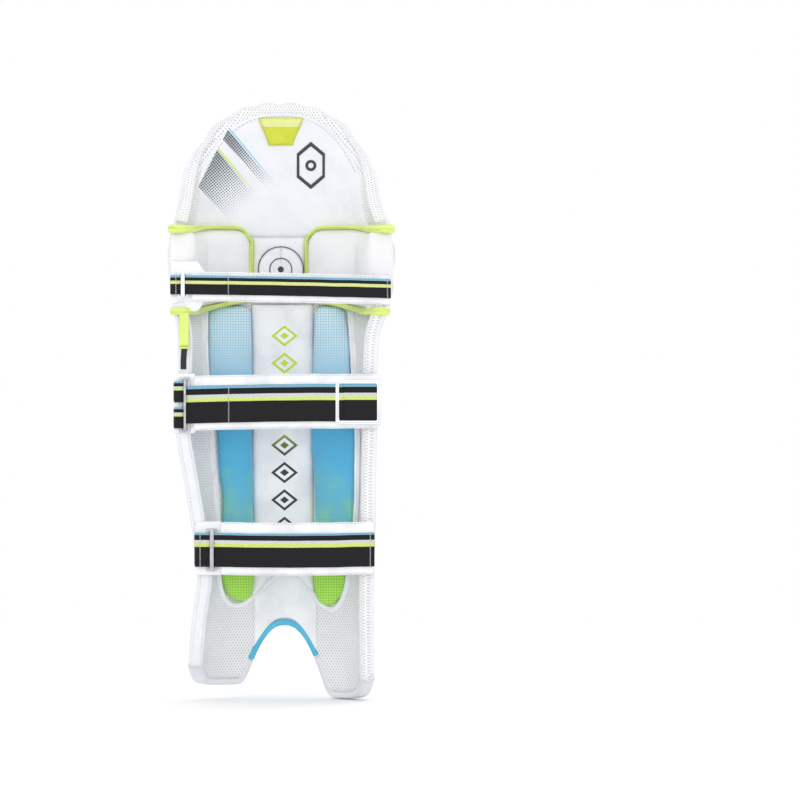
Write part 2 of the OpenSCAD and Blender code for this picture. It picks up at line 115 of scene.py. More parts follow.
def smooth(k, z):
    """A profile value at height z, with the corners between stations rounded off."""
    key = (k, round(z, 1))
    if key not in _smooth_cache:
        _smooth_cache[key] = sum(w * station(k, z + dz) for dz, w in
                                 ((-18, 1), (-9, 2), (0, 3), (9, 2), (18, 1))) / 9
    return _smooth_cache[key]


def angle(f):
    """Angle round the arch at a signed fraction of the half width."""
    return math.copysign(math.degrees(math.asin(min(1.0, abs(f) ** (ARCH_POWER / 2)))), f)


def arch(a, z, t):
    """Point at angle a and height z, t inside the outer face."""
    p = 2 / ARCH_POWER
    w = smooth(OUTER_W if a < 0 else INNER_W, z) - t
    edge = smooth(EDGE_Y, z)
    d = smooth(FACE_Y, z) - edge - t
    s, c = math.sin(math.radians(a)), math.cos(math.radians(a))
    return Vector((math.copysign(w * abs(s) ** p, a), edge + d * max(c, 0.0) ** p, z))


def pad_t(a, z):
    """Padding thickness: full in front, thinner at the wing edges and in the top hat."""
    t = FRONT_T + (EDGE_T - FRONT_T) * abs(math.sin(math.radians(a))) ** 3
    return t * mix(1.0, 0.75, clamp((z - 20) / 70))


def inner_angle(x, z):
    """Angle at which the inner face passes a given x."""
    w = smooth(OUTER_W if x < 0 else INNER_W, z) - EDGE_T - 4
    return angle(clamp(x / w, -1, 1))


def outward(a, z, t):
    """Unit vector out of the striking face at a point of the arch."""
    along = arch(a + 0.5, z, t) - arch(a - 0.5, z, t)
    up = arch(a, z + 1, t) - arch(a, z - 1, t)
    n = up.cross(along)
    if n.length < 1e-6:
        return Vector((0, 1, 0))
    n.normalize()
    return n


def arc(mid, side):
    """Height of a seam that is an arc across the pad."""
    return lambda a: side + (mid - side) * math.cos(math.radians(a))


hat_seam = arc(62, 44)
roll_seam_1 = arc(29, 16)
roll_seam_2 = arc(-6, -24)
knee_seam = arc(-46, -57)
HAT_BASE = 57.0


def hat_top(a):
    return HAT_BASE + (CROWN_Z - HAT_BASE) * math.cos(math.radians(a))


def scallop(a):
    """0 at the seams of the top hat, 1 in the middle of its channels."""
    seams = [-HAT_END] + [angle(f) for f in HAT_SEAMS[1:-1]] + [HAT_END]
    for lo, hi in zip(seams, seams[1:]):
        if lo <= a <= hi:
            return max(0.0, math.sin(math.pi * (a - lo) / (hi - lo))) ** 0.5
    return 0.0


def hat_rim(a):
    """The outline of the top hat, rounded at each channel."""
    return hat_top(a) - 3.5 + 5.0 * scallop(a)


def hat_foot(a):
    """Lower edge of the top hat pieces: down behind the knee cushions at the sides."""
    return hat_seam(a) - 18 * ease((abs(a) - 76) / 7)


def sole(a):
    """Lower edge of the pad: the arched instep notch between two rounded feet."""
    x = arch(a, -470, 0).x
    notch = NOTCH_TOP_Z - 34 * (abs(x - NOTCH_X) / 43) ** 2.3
    foot = mix(OUTER_FOOT_Z, INNER_FOOT_Z, ease((x + 30) / 60))
    foot += 22 * abs(math.sin(math.radians(a))) ** 26
    blend = 7.0
    return blend * math.log(math.exp((notch - foot) / blend) + 1) + foot + 1.5


# ---------------------------------------------------------------- mesh helpers

def finish_mesh(name, verts, faces, uvs=None, smooth_faces=True):
    """A mesh object from points in millimetres. uvs is one (u, v) in metres for each point."""
    mesh = bpy.data.meshes.new(name)
    mesh.from_pydata([Vector(v) * MM for v in verts], [], faces)
    mesh.validate()
    bm = bmesh.new()
    bm.from_mesh(mesh)
    bmesh.ops.recalc_face_normals(bm, faces=bm.faces)
    bm.to_mesh(mesh)
    bm.free()
    if uvs:
        layer = mesh.uv_layers.new(name="cloth")
        for loop in mesh.loops:
            layer.data[loop.index].uv = uvs[loop.vertex_index]
    for poly in mesh.polygons:
        poly.use_smooth = smooth_faces
    obj = bpy.data.objects.new(name, mesh)
    bpy.context.scene.collection.objects.link(obj)
    return obj


def wrap_uv(obj):
    """UVs in metres from the angle round the leg and the height, for any piece of the arch."""
    mesh = obj.data
    layer = mesh.uv_layers.get("cloth") or mesh.uv_layers.new(name="cloth")
    for loop in mesh.loops:
        co = mesh.vertices[loop.vertex_index].co
        turn = math.atan2(co.x, co.y + 0.03)
        layer.data[loop.index].uv = (0.095 * turn, co.z)
    return obj


def flat_uv(obj):
    """UVs in metres straight through each face along its own axis, for cushions."""
    mesh = obj.data
    layer = mesh.uv_layers.get("cloth") or mesh.uv_layers.new(name="cloth")
    for poly in mesh.polygons:
        n = [abs(v) for v in poly.normal]
        for k in poly.loop_indices:
            co = mesh.vertices[mesh.loops[k].vertex_index].co
            if n[1] >= 0.6 * max(n):
                layer.data[k].uv = (co.x, co.z)
            elif n[0] > n[2]:
                layer.data[k].uv = (co.y + 0.4, co.z)
            else:
                layer.data[k].uv = (co.x, co.y + 0.8)
    return obj


def slab(name, nu, nv, front, back):
    """A closed piece between two point functions of (u, s), both in 0..1."""
    rows = nv + 1
    half = (nu + 1) * rows
    verts = [front(i / nu, j / nv) for i in range(nu + 1) for j in range(rows)]
    verts += [back(i / nu, j / nv) for i in range(nu + 1) for j in range(rows)]

    def at(i, j, k=0):
        return k * half + i * rows + j

    faces = []
    for i in range(nu):
        for j in range(nv):
            faces.append((at(i, j), at(i, j + 1), at(i + 1, j + 1), at(i + 1, j)))
            faces.append((at(i, j, 1), at(i + 1, j, 1), at(i + 1, j + 1, 1), at(i, j + 1, 1)))
        faces.append((at(i, 0), at(i + 1, 0), at(i + 1, 0, 1), at(i, 0, 1)))
        faces.append((at(i + 1, nv), at(i, nv), at(i, nv, 1), at(i + 1, nv, 1)))
    for j in range(nv):
        faces.append((at(0, j + 1), at(0, j), at(0, j, 1), at(0, j + 1, 1)))
        faces.append((at(nu, j), at(nu, j + 1), at(nu, j + 1, 1), at(nu, j, 1)))
    return finish_mesh(name, verts, faces)


def patch(name, nu, nv, a_of, z_of, t_front, t_back):
    """A slab of the pad. a_of(u), z_of(a, s); the depths are functions of (a, z, u, s)."""
    def layer(depth):
        def point(u, s):
            a = a_of(u)
            z = z_of(a, s)
            return arch(a, z, depth(a, z, u, s))
        return point
    return wrap_uv(slab(name, nu, nv, layer(t_front), layer(t_back)))


def between(lo, hi):
    """z_of for a region between two edge functions of the angle."""
    return lambda a, s: mix(lo(a), hi(a), s)


def level(z):
    return lambda a: z


def through(a0, a1):
    return lambda u: mix(a0, a1, u)


def rim(d, r):
    """How far a rounded rim of radius r has curled in at distance d from its edge."""
    if d >= r:
        return 0.0
    return r - math.sqrt(max(0.0, r * r - (r - max(d, 0.0)) ** 2))


def resample(points, step):
    """Points at even steps along a polyline."""
    out, carry = [Vector(points[0])], 0.0
    for p, q in zip(points, points[1:]):
        p, q = Vector(p), Vector(q)
        length = (q - p).length
        if length == 0:
            continue
        d = step - carry
        while d <= length:
            out.append(p.lerp(q, d / length))
            d += step
        carry = length - (d - step)
    return out


def relax(path, rounds=2):
    """Softens the corners of a path, with its two ends kept."""
    for _ in range(rounds):
        inner = [(before + p * 2 + after) / 4 for before, p, after in zip(path, path[1:], path[2:])]
        path = [path[0]] + inner + [path[-1]]
    return path


def spline(points, n=8):
    """A smooth curve through given points (Catmull-Rom)."""
    pts = [Vector(p) for p in points]
    out = []
    for i in range(len(pts) - 1):
        p0, p1, p2 = pts[max(i - 1, 0)], pts[i], pts[i + 1]
        p3 = pts[min(i + 2, len(pts) - 1)]
        for k in range(n):
            t = k / n
            out.append(0.5 * ((2 * p1) + (p2 - p0) * t + (2 * p0 - 5 * p1 + 4 * p2 - p3) * t * t
                              + (3 * p1 - p0 - 3 * p2 + p3) * t ** 3))
    out.append(pts[-1])
    return out


def tube(name, path, r, sides=10, flat=1.0, normal=None):
    """A closed tube along a path; flat squeezes it along normal(i)."""
    verts, faces, uvs = [], [], []
    travelled = 0.0
    last = len(path) - 1
    for i, p in enumerate(path):
        d = (path[min(i + 1, last)] - path[max(i - 1, 0)]).normalized()
        n = normal(i) if normal else Vector((0, -1, 0))
        n = (n - d * n.dot(d)).normalized()
        b = d.cross(n)
        if i:
            travelled += (path[i] - path[i - 1]).length
        for k in range(sides):
            w = 2 * math.pi * k / sides
            verts.append(p + r * (math.cos(w) * n * flat + math.sin(w) * b))
            uvs.append((travelled * MM, r * w * MM))
    for i in range(last):
        for k in range(sides):
            m = (k + 1) % sides
            faces.append((i * sides + k, i * sides + m, (i + 1) * sides + m, (i + 1) * sides + k))
    faces.append(tuple(range(sides - 1, -1, -1)))
    faces.append(tuple(last * sides + k for k in range(sides)))
    return finish_mesh(name, verts, faces, uvs)


def squarish(v, power):
    """A signed power, for cross-sections between an ellipse and a box."""
    return math.copysign(abs(v) ** power, v)


def tape(name, path, across, half_across, half_deep, sides=18, power=0.6):
    """Folded binding tape along a path: across(i) is the direction of its width.

    half_across and half_deep are half sizes in millimetres, as functions of 0..1 along the path.
    """
    verts, faces, uvs = [], [], []
    travelled = 0.0
    last = len(path) - 1
    for i, p in enumerate(path):
        d = (path[min(i + 1, last)] - path[max(i - 1, 0)]).normalized()
        n = across(i)
        n = (n - d * n.dot(d)).normalized()
        b = d.cross(n)
        if i:
            travelled += (path[i] - path[i - 1]).length
        ha, hd = half_across(i / last), half_deep(i / last)
        pucker = 1 + 0.05 * noise.noise(Vector((travelled / 5, ha, 2)))
        for k in range(sides):
            w = 2 * math.pi * k / sides
            wide = ha * squarish(math.cos(w), power)
            verts.append(p + n * wide + b * (hd * pucker * squarish(math.sin(w), power)))
            uvs.append((travelled * MM, (ha + hd) * 0.64 * w * MM))
    for i in range(last):
        for k in range(sides):
            m = (k + 1) % sides
            faces.append((i * sides + k, i * sides + m, (i + 1) * sides + m, (i + 1) * sides + k))
    faces.append(tuple(range(sides - 1, -1, -1)))
    faces.append(tuple(last * sides + k for k in range(sides)))
    return finish_mesh(name, verts, faces, uvs)


def ribbon(name, path, across, low, high, t, step=2.0, rows=12):
    """A flat strap of thickness t along a path. across is the direction of its width, and
    low(p) and high(p) are its two edges measured that way from the path, in millimetres."""
    across = Vector(across)
    pts = resample(path, step)
    n = len(pts) - 1
    sides = []
    for i in range(n + 1):
        d = (pts[min(i + 1, n)] - pts[max(i - 1, 0)]).normalized()
        sides.append(d.cross(across).normalized())

    def layer(sign):
        def point(u, s):
            i = round(u * n)
            thin = 1 - 0.55 * abs(2 * s - 1) ** 14
            return pts[i] + across * mix(low(pts[i]), high(pts[i]), s) + sides[i] * (sign * t / 2 * thin)
        return point

    obj = slab(name, n, rows, layer(1), layer(-1))
    layer_uv = obj.data.uv_layers.new(name="cloth")
    half = (n + 1) * (rows + 1)
    for loop in obj.data.loops:
        i, j = divmod(loop.vertex_index % half, rows + 1)
        width = high(pts[i]) - low(pts[i])
        layer_uv.data[loop.index].uv = (i * step * MM, width * j / rows * MM)
    return obj


def panel(name, nu, nv, left, right, low, high, t_front, t_back, hollow_low=0.0, hollow_high=0.0):
    """A slab on the leg side between left(z) and right(z), in x. The hollows round off its ends."""
    def layer(depth):
        def point(u, s):
            f = abs(2 * u - 1) ** 3.4
            z = mix(low + hollow_low * f, high - hollow_high * f, s)
            a = inner_angle(mix(left(z), right(z), u), z)
            return arch(a, z, depth(a, z, u, s))
        return point
    return wrap_uv(slab(name, nu, nv, layer(t_front), layer(t_back)))


def through_points(table):
    """A smooth function through (z, value) pairs, listed upwards."""
    def at(z):
        if z <= table[0][0]:
            return table[0][1]
        for (z0, v0), (z1, v1) in zip(table, table[1:]):
            if z <= z1:
                return mix(v0, v1, ease((z - z0) / (z1 - z0)))
        return table[-1][1]
    return at


def join_parts(name, parts):
    """Joins mesh objects into one piece."""
    bm = bmesh.new()
    for part in parts:
        bm.from_mesh(part.data)
        old = part.data
        bpy.data.objects.remove(part)
        bpy.data.meshes.remove(old)
    mesh = bpy.data.meshes.new(name)
    bm.to_mesh(mesh)
    bm.free()
    obj = bpy.data.objects.new(name, mesh)
    bpy.context.scene.collection.objects.link(obj)
    return obj


def stitches(name, runs, length=3.4, space=1.5, r=0.45):
    """Sewing thread: a small rounded dash for each stitch along runs of (points, normal)."""
    verts, faces, uvs = [], [], []
    rings = ((0.0, 0.35), (0.2, 0.95), (0.8, 0.95), (1.0, 0.35))
    sides = 5
    for points, normal in runs:
        path = resample(points, (length + space) / 4)
        for k in range(0, len(path) - 3, 4):
            p, q = path[k], path[k] + (path[k + 3] - path[k]) * (length / (length + space) * 4 / 3)
            d = (q - p).normalized()
            n = normal((p + q) / 2)
            n = (n - d * n.dot(d)).normalized()
            b = d.cross(n)
            base = len(verts)
            for f, w in rings:
                lift = 0.3 * math.sin(math.pi * f)
                for m in range(sides):
                    t = 2 * math.pi * m / sides
                    verts.append(p.lerp(q, f) + n * (lift + r * w * math.cos(t)) + b * (r * w * math.sin(t)))
                    uvs.append((f * length * MM, t * r * MM))
            for i in range(len(rings) - 1):
                for m in range(sides):
                    e = (m + 1) % sides
                    faces.append((base + i * sides + m, base + i * sides + e,
                                  base + (i + 1) * sides + e, base + (i + 1) * sides + m))
            faces.append(tuple(base + m for m in range(sides - 1, -1, -1)))
            faces.append(tuple(base + (len(rings) - 1) * sides + m for m in range(sides)))
    return finish_mesh(name, verts, faces, uvs)


def evaluated_copy(obj):
    """Applies the object's modifiers to its mesh."""
    dg = bpy.context.evaluated_depsgraph_get()
    mesh = bpy.data.meshes.new_from_object(obj.evaluated_get(dg))
    obj.modifiers.clear()
    old = obj.data
    obj.data = mesh
    bpy.data.meshes.remove(old)
    for poly in obj.data.polygons:
        poly.use_smooth = True


def puff(obj, held, voxel=4.5, pressure=4.0, cap=7.0):
    """Padded fabric: remesh the slab, inflate it as cloth with the held points fixed, keep the result.

    held(co) says whether a point, in millimetres, is sewn down. cap limits how far a point moves.
    """
    mod = obj.modifiers.new("Remesh", "REMESH")
    mod.mode = "VOXEL"
    mod.voxel_size = voxel * MM
    evaluated_copy(obj)
    mesh = obj.data
    rest = [v.co.copy() for v in mesh.vertices]
    pinned = [i for i, co in enumerate(rest) if held(co / MM)]
    group = obj.vertex_groups.new(name="sewn")
    group.add(pinned, 1.0, "REPLACE")
    cloth = obj.modifiers.new("Cloth", "CLOTH")
    cloth.settings.quality = 4
    cloth.settings.mass = 0.25
    cloth.settings.tension_stiffness = 12
    cloth.settings.compression_stiffness = 12
    cloth.settings.bending_stiffness = 1.2
    cloth.settings.use_pressure = True
    cloth.settings.uniform_pressure_force = pressure
    cloth.settings.effector_weights.gravity = 0
    cloth.settings.vertex_group_mass = "sewn"
    cloth.collision_settings.use_collision = False
    cloth.point_cache.frame_start = 1
    cloth.point_cache.frame_end = 20
    for f in range(1, 21):
        bpy.context.scene.frame_set(f)
    dg = bpy.context.evaluated_depsgraph_get()
    moved = [v.co.copy() for v in obj.evaluated_get(dg).data.vertices]
    obj.modifiers.remove(cloth)
    obj.vertex_groups.remove(group)
    bpy.context.scene.frame_set(1)
    for v, start, end in zip(mesh.vertices, rest, moved):
        step = end - start
        if step.length > cap * MM:
            step *= cap * MM / step.length
        v.co = start + step
    bm = bmesh.new()
    bm.from_mesh(mesh)
    for _ in range(3):
        bmesh.ops.smooth_vert(bm, verts=bm.verts, factor=0.5,
                              use_axis_x=True, use_axis_y=True, use_axis_z=True)
    bm.to_mesh(mesh)
    bm.free()
    sub = obj.modifiers.new("Subdivision", "SUBSURF")
    sub.levels = 1
    sub.render_levels = 1
    evaluated_copy(obj)
    return flat_uv(obj)

# ---------------------------------------------------------------- material helpers

class Shade:
    """A small builder for one procedural material. Texture space is the cloth UV, in metres."""

    def __init__(self, name):
        self.mat = bpy.data.materials.new(name)
        self.mat.use_nodes = True
        self.tree = self.mat.node_tree
        self.tree.nodes.clear()
        self.out = self.add("ShaderNodeOutputMaterial")
        self.bsdf = self.add("ShaderNodeBsdfPrincipled")
        self.tree.links.new(self.bsdf.outputs[0], self.out.inputs[0])
        self.height = None

    def add(self, kind, **settings):
        node = self.tree.nodes.new(kind)
        for key, value in settings.items():
            setattr(node, key, value)
        return node

    def put(self, value, socket):
        """Links an output socket, or sets a plain value."""
        if isinstance(value, bpy.types.NodeSocket):
            self.tree.links.new(value, socket)
        else:
            socket.default_value = value

    def cloth(self):
        return self.add("ShaderNodeUVMap", uv_map="cloth").outputs[0]

    def place(self):
        return self.add("ShaderNodeTexCoord").outputs["Object"]

    def split(self, vector):
        node = self.add("ShaderNodeSeparateXYZ")
        self.put(vector, node.inputs[0])
        return node.outputs

    def math(self, op, a, b=0.0, c=0.0, clip=False):
        node = self.add("ShaderNodeMath", operation=op, use_clamp=clip)
        for value, socket in zip((a, b, c), node.inputs):
            self.put(value, socket)
        return node.outputs[0]

    def ramp(self, value, lo, hi, to_lo=0.0, to_hi=1.0):
        """Value carried from lo..hi to to_lo..to_hi, smoothly and clamped."""
        node = self.add("ShaderNodeMapRange", interpolation_type="SMOOTHSTEP")
        for k, v in enumerate((value, lo, hi, to_lo, to_hi)):
            self.put(v, node.inputs[k])
        return node.outputs[0]

    def blend(self, factor, a, b):
        node = self.add("ShaderNodeMix", data_type="RGBA")
        self.put(factor, node.inputs[0])
        self.put(a, node.inputs[6])
        self.put(b, node.inputs[7])
        return node.outputs[2]

    def noise(self, vector, scale, detail=2.0, rough=0.5):
        node = self.add("ShaderNodeTexNoise")
        self.put(vector, node.inputs["Vector"])
        node.inputs["Scale"].default_value = scale
        node.inputs["Detail"].default_value = detail
        node.inputs["Roughness"].default_value = rough
        return node.outputs[0]

    def cells(self, vector, scale, feature="F1"):
        node = self.add("ShaderNodeTexVoronoi", feature=feature)
        self.put(vector, node.inputs["Vector"])
        node.inputs["Scale"].default_value = scale
        return node.outputs["Distance"]

    def wave(self, value, pitch, phase=0.0):
        """A cosine of a length, 0..1, repeating every pitch metres."""
        turned = self.math("MULTIPLY_ADD", value, 2 * math.pi / pitch, phase)
        return self.math("MULTIPLY_ADD", self.math("COSINE", turned), 0.5, 0.5)

    def finish(self, colour, rough, bump=None, depth=0.0003, sheen=0.0, coat=0.0, specular=0.5):
        self.put(colour, self.bsdf.inputs["Base Color"])
        self.put(rough, self.bsdf.inputs["Roughness"])
        self.bsdf.inputs["Specular IOR Level"].default_value = specular
        self.bsdf.inputs["Sheen Weight"].default_value = sheen
        self.bsdf.inputs["Coat Weight"].default_value = coat
        if bump is not None:
            node = self.add("ShaderNodeBump")
            node.inputs["Strength"].default_value = 1.0
            node.inputs["Distance"].default_value = depth
            self.put(bump, node.inputs["Height"])
            self.put(node.outputs[0], self.bsdf.inputs["Normal"])
        return self.mat


def rgb(code):
    """Scene-linear colour from a screen colour such as 'edeef2'."""
    def linear(c):
        c /= 255
        return c / 12.92 if c <= 0.04045 else ((c + 0.055) / 1.055) ** 2.4
    return tuple(linear(int(code[i:i + 2], 16)) for i in (0, 2, 4)) + (1.0,)


WHITE_PU = rgb("e4e6eb")
WHITE_SHADE = rgb("dee0e6")
# Painted light: a lighter copy of the white PU, for the centre panel, the instep lining and the W piping,
# brightened against the shade that falls on them.
WHITE_PU_LIT = rgb("f3f4f7")
MESH_WHITE = rgb("f0f0f1")
# Painted shade: the darker colour of the mesh's open cells, for the shade inside them.
MESH_HOLE_SHADE = rgb("c9cacd")
LIME = rgb("e2f884")
LIME_DARK = rgb("cfe868")
MARK_LIME = rgb("bfd93c")
SKY = rgb("4fb4e0")
PALE_SKY = rgb("e8f6fa")
LIME_PRINT = rgb("b4ec55")
GREEN_GRID = rgb("5fb534")
BLACK = rgb("1d1b1f")
STRAP_BLUE = rgb("86c4de")
PALE_LIME = rgb("eef79f")


def leather_bump(s, vector):
    """Fine pebble grain with soft creases."""
    pebble = s.cells(vector, 1250)
    fine = s.noise(vector, 2600, 2.0)
    broad = s.noise(vector, 150, 3.0)
    return s.math("ADD", s.math("MULTIPLY", pebble, 0.8),
                  s.math("ADD", s.math("MULTIPLY", fine, 0.35), s.math("MULTIPLY", broad, 1.3)))


def pu_leather(name, light, shade, rough=0.42):
    s = Shade(name)
    uv = s.cloth()
    tone = s.ramp(s.noise(uv, 28, 4.0), 0.35, 0.7)
    rub = s.ramp(s.noise(uv, 210, 2.0), 0.3, 0.75, rough - 0.05, rough + 0.1)
    return s.finish(s.blend(tone, light, shade), rub, leather_bump(s, uv), 0.00022, sheen=0.05)


def air_mesh(name, pitch, light=MESH_WHITE, hole_shade=MESH_HOLE_SHADE, depth=0.0006):
    """Knitted spacer mesh: staggered rows of small open cells."""
    s = Shade(name)
    uv = s.cloth()
    x, y, _ = s.split(uv)
    wobble = s.math("MULTIPLY_ADD", s.noise(uv, 90, 2.0), pitch * 0.5, -pitch * 0.25)
    x = s.math("ADD", x, wobble)
    a = s.wave(s.math("ADD", x, s.math("MULTIPLY", y, 0.58)), pitch)
    b = s.wave(s.math("SUBTRACT", x, s.math("MULTIPLY", y, 0.58)), pitch)
    cell = s.math("MULTIPLY", a, b)
    opening = s.ramp(cell, 0.34, 0.62)
    yarn = s.noise(uv, 1900, 2.0)
    tone = s.ramp(s.noise(uv, 35, 3.0), 0.3, 0.75, 0.0, 0.35)
    # Painted shade: the open cells are coloured darker, where the bump also sinks them.
    colour = s.blend(opening, s.blend(tone, light, WHITE_SHADE), hole_shade)
    height = s.math("SUBTRACT", s.math("MULTIPLY", yarn, 0.3), opening)
    return s.finish(colour, 0.78, height, depth, sheen=0.25)


def woven(name, light, dark, pitch=0.0011, sheen=0.35, rough=0.65):
    """Plain weave with a soft sheen, for bindings and labels."""
    s = Shade(name)
    uv = s.cloth()
    x, y, _ = s.split(uv)
    over = s.math("MULTIPLY", s.wave(x, pitch), s.wave(y, pitch * 1.2))
    tone = s.ramp(s.noise(uv, 60, 3.0), 0.3, 0.75, 0.0, 0.6)
    # Painted shade: the low spots between crossing threads are darkened, where the bump also dips.
    colour = s.blend(s.ramp(over, 0.1, 0.9, 0.35, 0.0), s.blend(tone, light, dark), dark)
    return s.finish(colour, rough, over, 0.0003, sheen=sheen)


def printed_fabric():
    """Bolster cover: a print that runs from pale sky through blue to lime, with a fine grid."""
    s = Shade("printed_fabric")
    uv = s.cloth()
    place = s.split(s.place())
    z = place[2]
    top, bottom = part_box("outer_shin_bolster")[1].z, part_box("outer_shin_bolster")[0].z
    length = top - bottom

    def down(f):
        return top - length * f

    colour = s.blend(s.ramp(z, down(-0.05), down(0.42)), PALE_SKY, SKY)
    colour = s.blend(s.ramp(z, down(0.72), down(0.9)), colour, LIME_PRINT)
    pitch = 0.0031
    line_x, line_y = s.wave(place[0], pitch), s.wave(z, pitch)
    grid = s.ramp(s.math("MAXIMUM", line_x, line_y), 0.8, 0.98)
    upper = s.math("MULTIPLY", s.ramp(z, down(0.3), down(0.0)), 0.8)
    lower = s.math("MULTIPLY", s.ramp(z, down(0.8), down(0.9)), 0.75)
    # lime dots that grow downwards, missing in a few patches
    square = s.math("MULTIPLY", s.wave(place[0], pitch), s.wave(z, pitch))
    patchy = s.ramp(s.noise(s.place(), 55, 2.0), 0.42, 0.58, 0.3, 0.0)
    size = s.ramp(z, down(0.48), down(0.76), 0.7, 0.18)
    limit = s.math("ADD", size, patchy)
    dots = s.math("MULTIPLY", s.ramp(square, limit, s.math("ADD", limit, 0.12)),
                  s.ramp(z, down(0.48), down(0.56)))
    colour = s.blend(s.math("MULTIPLY", grid, upper), colour, SKY)
    colour = s.blend(dots, colour, LIME_PRINT)
    colour = s.blend(s.math("MULTIPLY", grid, lower), colour, GREEN_GRID)
    x, y, _ = s.split(uv)
    weave = s.math("MULTIPLY", s.wave(x, 0.0009), s.wave(y, 0.0009))
    height = s.math("ADD", weave, s.math("MULTIPLY", s.noise(uv, 500, 2.0), 0.8))
    return s.finish(colour, 0.62, height, 0.0002, sheen=0.3)


def webbing(name, bands, width):
    """Striped twill webbing. bands are (share of the width from the bottom, colour) upwards."""
    s = Shade(name)
    uv = s.cloth()
    x, y, _ = s.split(uv)
    share = s.math("DIVIDE", y, width)
    share = s.math("MULTIPLY_ADD", s.noise(uv, 700, 1.0), 0.006, s.math("SUBTRACT", share, 0.003))
    colour = bands[0][1]
    for start, tint in bands[1:]:
        colour = s.blend(s.ramp(share, start - 0.004, start + 0.004), colour, tint)
    rib = s.wave(s.math("ADD", x, s.math("MULTIPLY", y, 0.8)), 0.0034)
    thread = s.wave(s.math("SUBTRACT", x, s.math("MULTIPLY", y, 2.2)), 0.0009)
    height = s.math("ADD", rib, s.math("MULTIPLY", thread, 0.25))
    # Painted shade: the colour is darkened in the grooves between the twill ribs, where the bump also dips.
    rib_shade = s.math("MULTIPLY_ADD", rib, 0.22, 0.78)
    grey = s.add("ShaderNodeCombineColor")
    for socket in grey.inputs:
        s.put(rib_shade, socket)
    rib_shaded = s.add("ShaderNodeMix", data_type="RGBA", blend_type="MULTIPLY")
    rib_shaded.inputs[0].default_value = 1.0
    s.put(colour, rib_shaded.inputs[6])
    s.put(grey.outputs[0], rib_shaded.inputs[7])
    return s.finish(rib_shaded.outputs[2], 0.7, height, 0.0005, sheen=0.03, specular=0.25)


def hat_panel_pu():
    """White PU with two diagonal halftone bands that fade away, each with a fine edge line."""
    s = Shade("hat_panel_pu")
    uv = s.cloth()
    x, _, z = s.split(s.place())
    low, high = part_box("top_hat_panel")
    # the bands run down to the right; along and across are measured from the upper left rim
    start = Vector((low.x * 0.76, mix(low.z, high.z, 0.652)))
    tilt = math.radians(-50)

    def turned(ax, az):
        return s.math("ADD", s.math("MULTIPLY", s.math("SUBTRACT", x, start.x), ax),
                      s.math("MULTIPLY", s.math("SUBTRACT", z, start.y), az))

    along = turned(math.cos(tilt), math.sin(tilt))
    across = turned(-math.sin(tilt), math.cos(tilt))
    tone = s.ramp(s.noise(uv, 28, 4.0), 0.35, 0.7)
    colour = s.blend(tone, WHITE_PU, WHITE_SHADE)
    pitch = 0.0026
    dot = s.math("MULTIPLY", s.wave(along, pitch), s.wave(across, pitch))
    dot = s.math("POWER", dot, 0.5)
    for side0, side1, reach, ink, line in (
            (-0.046, 0.0, 0.092, rgb("3c5157"), MARK_LIME),
            (0.0125, 0.025, 0.094, rgb("4a5560"), STRAP_BLUE)):
        # the band fans out: its lower side drops away from the upper one along its length
        lower = s.math("MULTIPLY_ADD", along, 0.04, side0)
        begin = s.math("SUBTRACT", along, s.math("MULTIPLY", across, -0.42))
        inside = s.math("MULTIPLY", s.ramp(across, lower, s.math("ADD", lower, 0.0006)),
                        s.ramp(across, side1, side1 - 0.0006))
        inside = s.math("MULTIPLY", inside, s.ramp(begin, 0.0, 0.0006))
        fade = s.ramp(along, -0.004, reach, 0.02, 1.02)
        ink_here = s.math("MULTIPLY", inside, s.ramp(dot, fade, s.math("ADD", fade, 0.14)))
        colour = s.blend(ink_here, colour, ink)
        edge = s.math("MULTIPLY", s.ramp(across, side1 + 0.0004, side1 + 0.0008),
                      s.ramp(across, side1 + 0.0026, side1 + 0.0022))
        edge = s.math("MULTIPLY", edge, s.ramp(begin, 0.0, 0.0006))
        edge = s.math("MULTIPLY", edge, s.ramp(along, reach * 0.95, reach * 0.2))
        colour = s.blend(edge, colour, line)
    return s.finish(colour, 0.4, leather_bump(s, uv), 0.0002, sheen=0.05)


def centre_panel_pu():
    """White PU with a plain column of diamonds, lime at the top and dark at the bottom."""
    s = Shade("centre_panel_pu")
    uv = s.cloth()
    x, _, z = s.split(s.place())
    low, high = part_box("centre_bolster")
    tone = s.ramp(s.noise(uv, 28, 4.0), 0.35, 0.7)
    # Painted light: the panel's base is the lighter copy of the white PU.
    colour = s.blend(tone, WHITE_PU_LIT, WHITE_PU)
    pitch = 0.032
    centre = (low.x + high.x) / 2
    cell = s.math("FRACT", s.math("DIVIDE", s.math("SUBTRACT", z, low.z), pitch))
    off_z = s.math("MULTIPLY", s.math("ABSOLUTE", s.math("SUBTRACT", cell, 0.5)), pitch)
    off_x = s.math("MULTIPLY", s.math("ABSOLUTE", s.math("SUBTRACT", x, centre)), 0.8)
    reach = s.math("ADD", off_z, off_x)
    ring = s.math("MULTIPLY", s.ramp(reach, 0.0128, 0.0124), s.ramp(reach, 0.0088, 0.0092))
    core = s.ramp(reach, 0.0044, 0.004)
    first, last = low.z + pitch, low.z + 9 * pitch
    zone = s.math("MULTIPLY", s.ramp(z, first, first + 0.0005), s.ramp(z, last, last - 0.0005))
    ink = s.blend(s.ramp(z, mix(low.z, high.z, 0.42), mix(low.z, high.z, 0.62)), BLACK, MARK_LIME)
    shown = s.math("MULTIPLY", s.math("MAXIMUM", ring, core), zone)
    colour = s.blend(shown, colour, ink)
    return s.finish(colour, 0.4, leather_bump(s, uv), 0.0002, sheen=0.05)


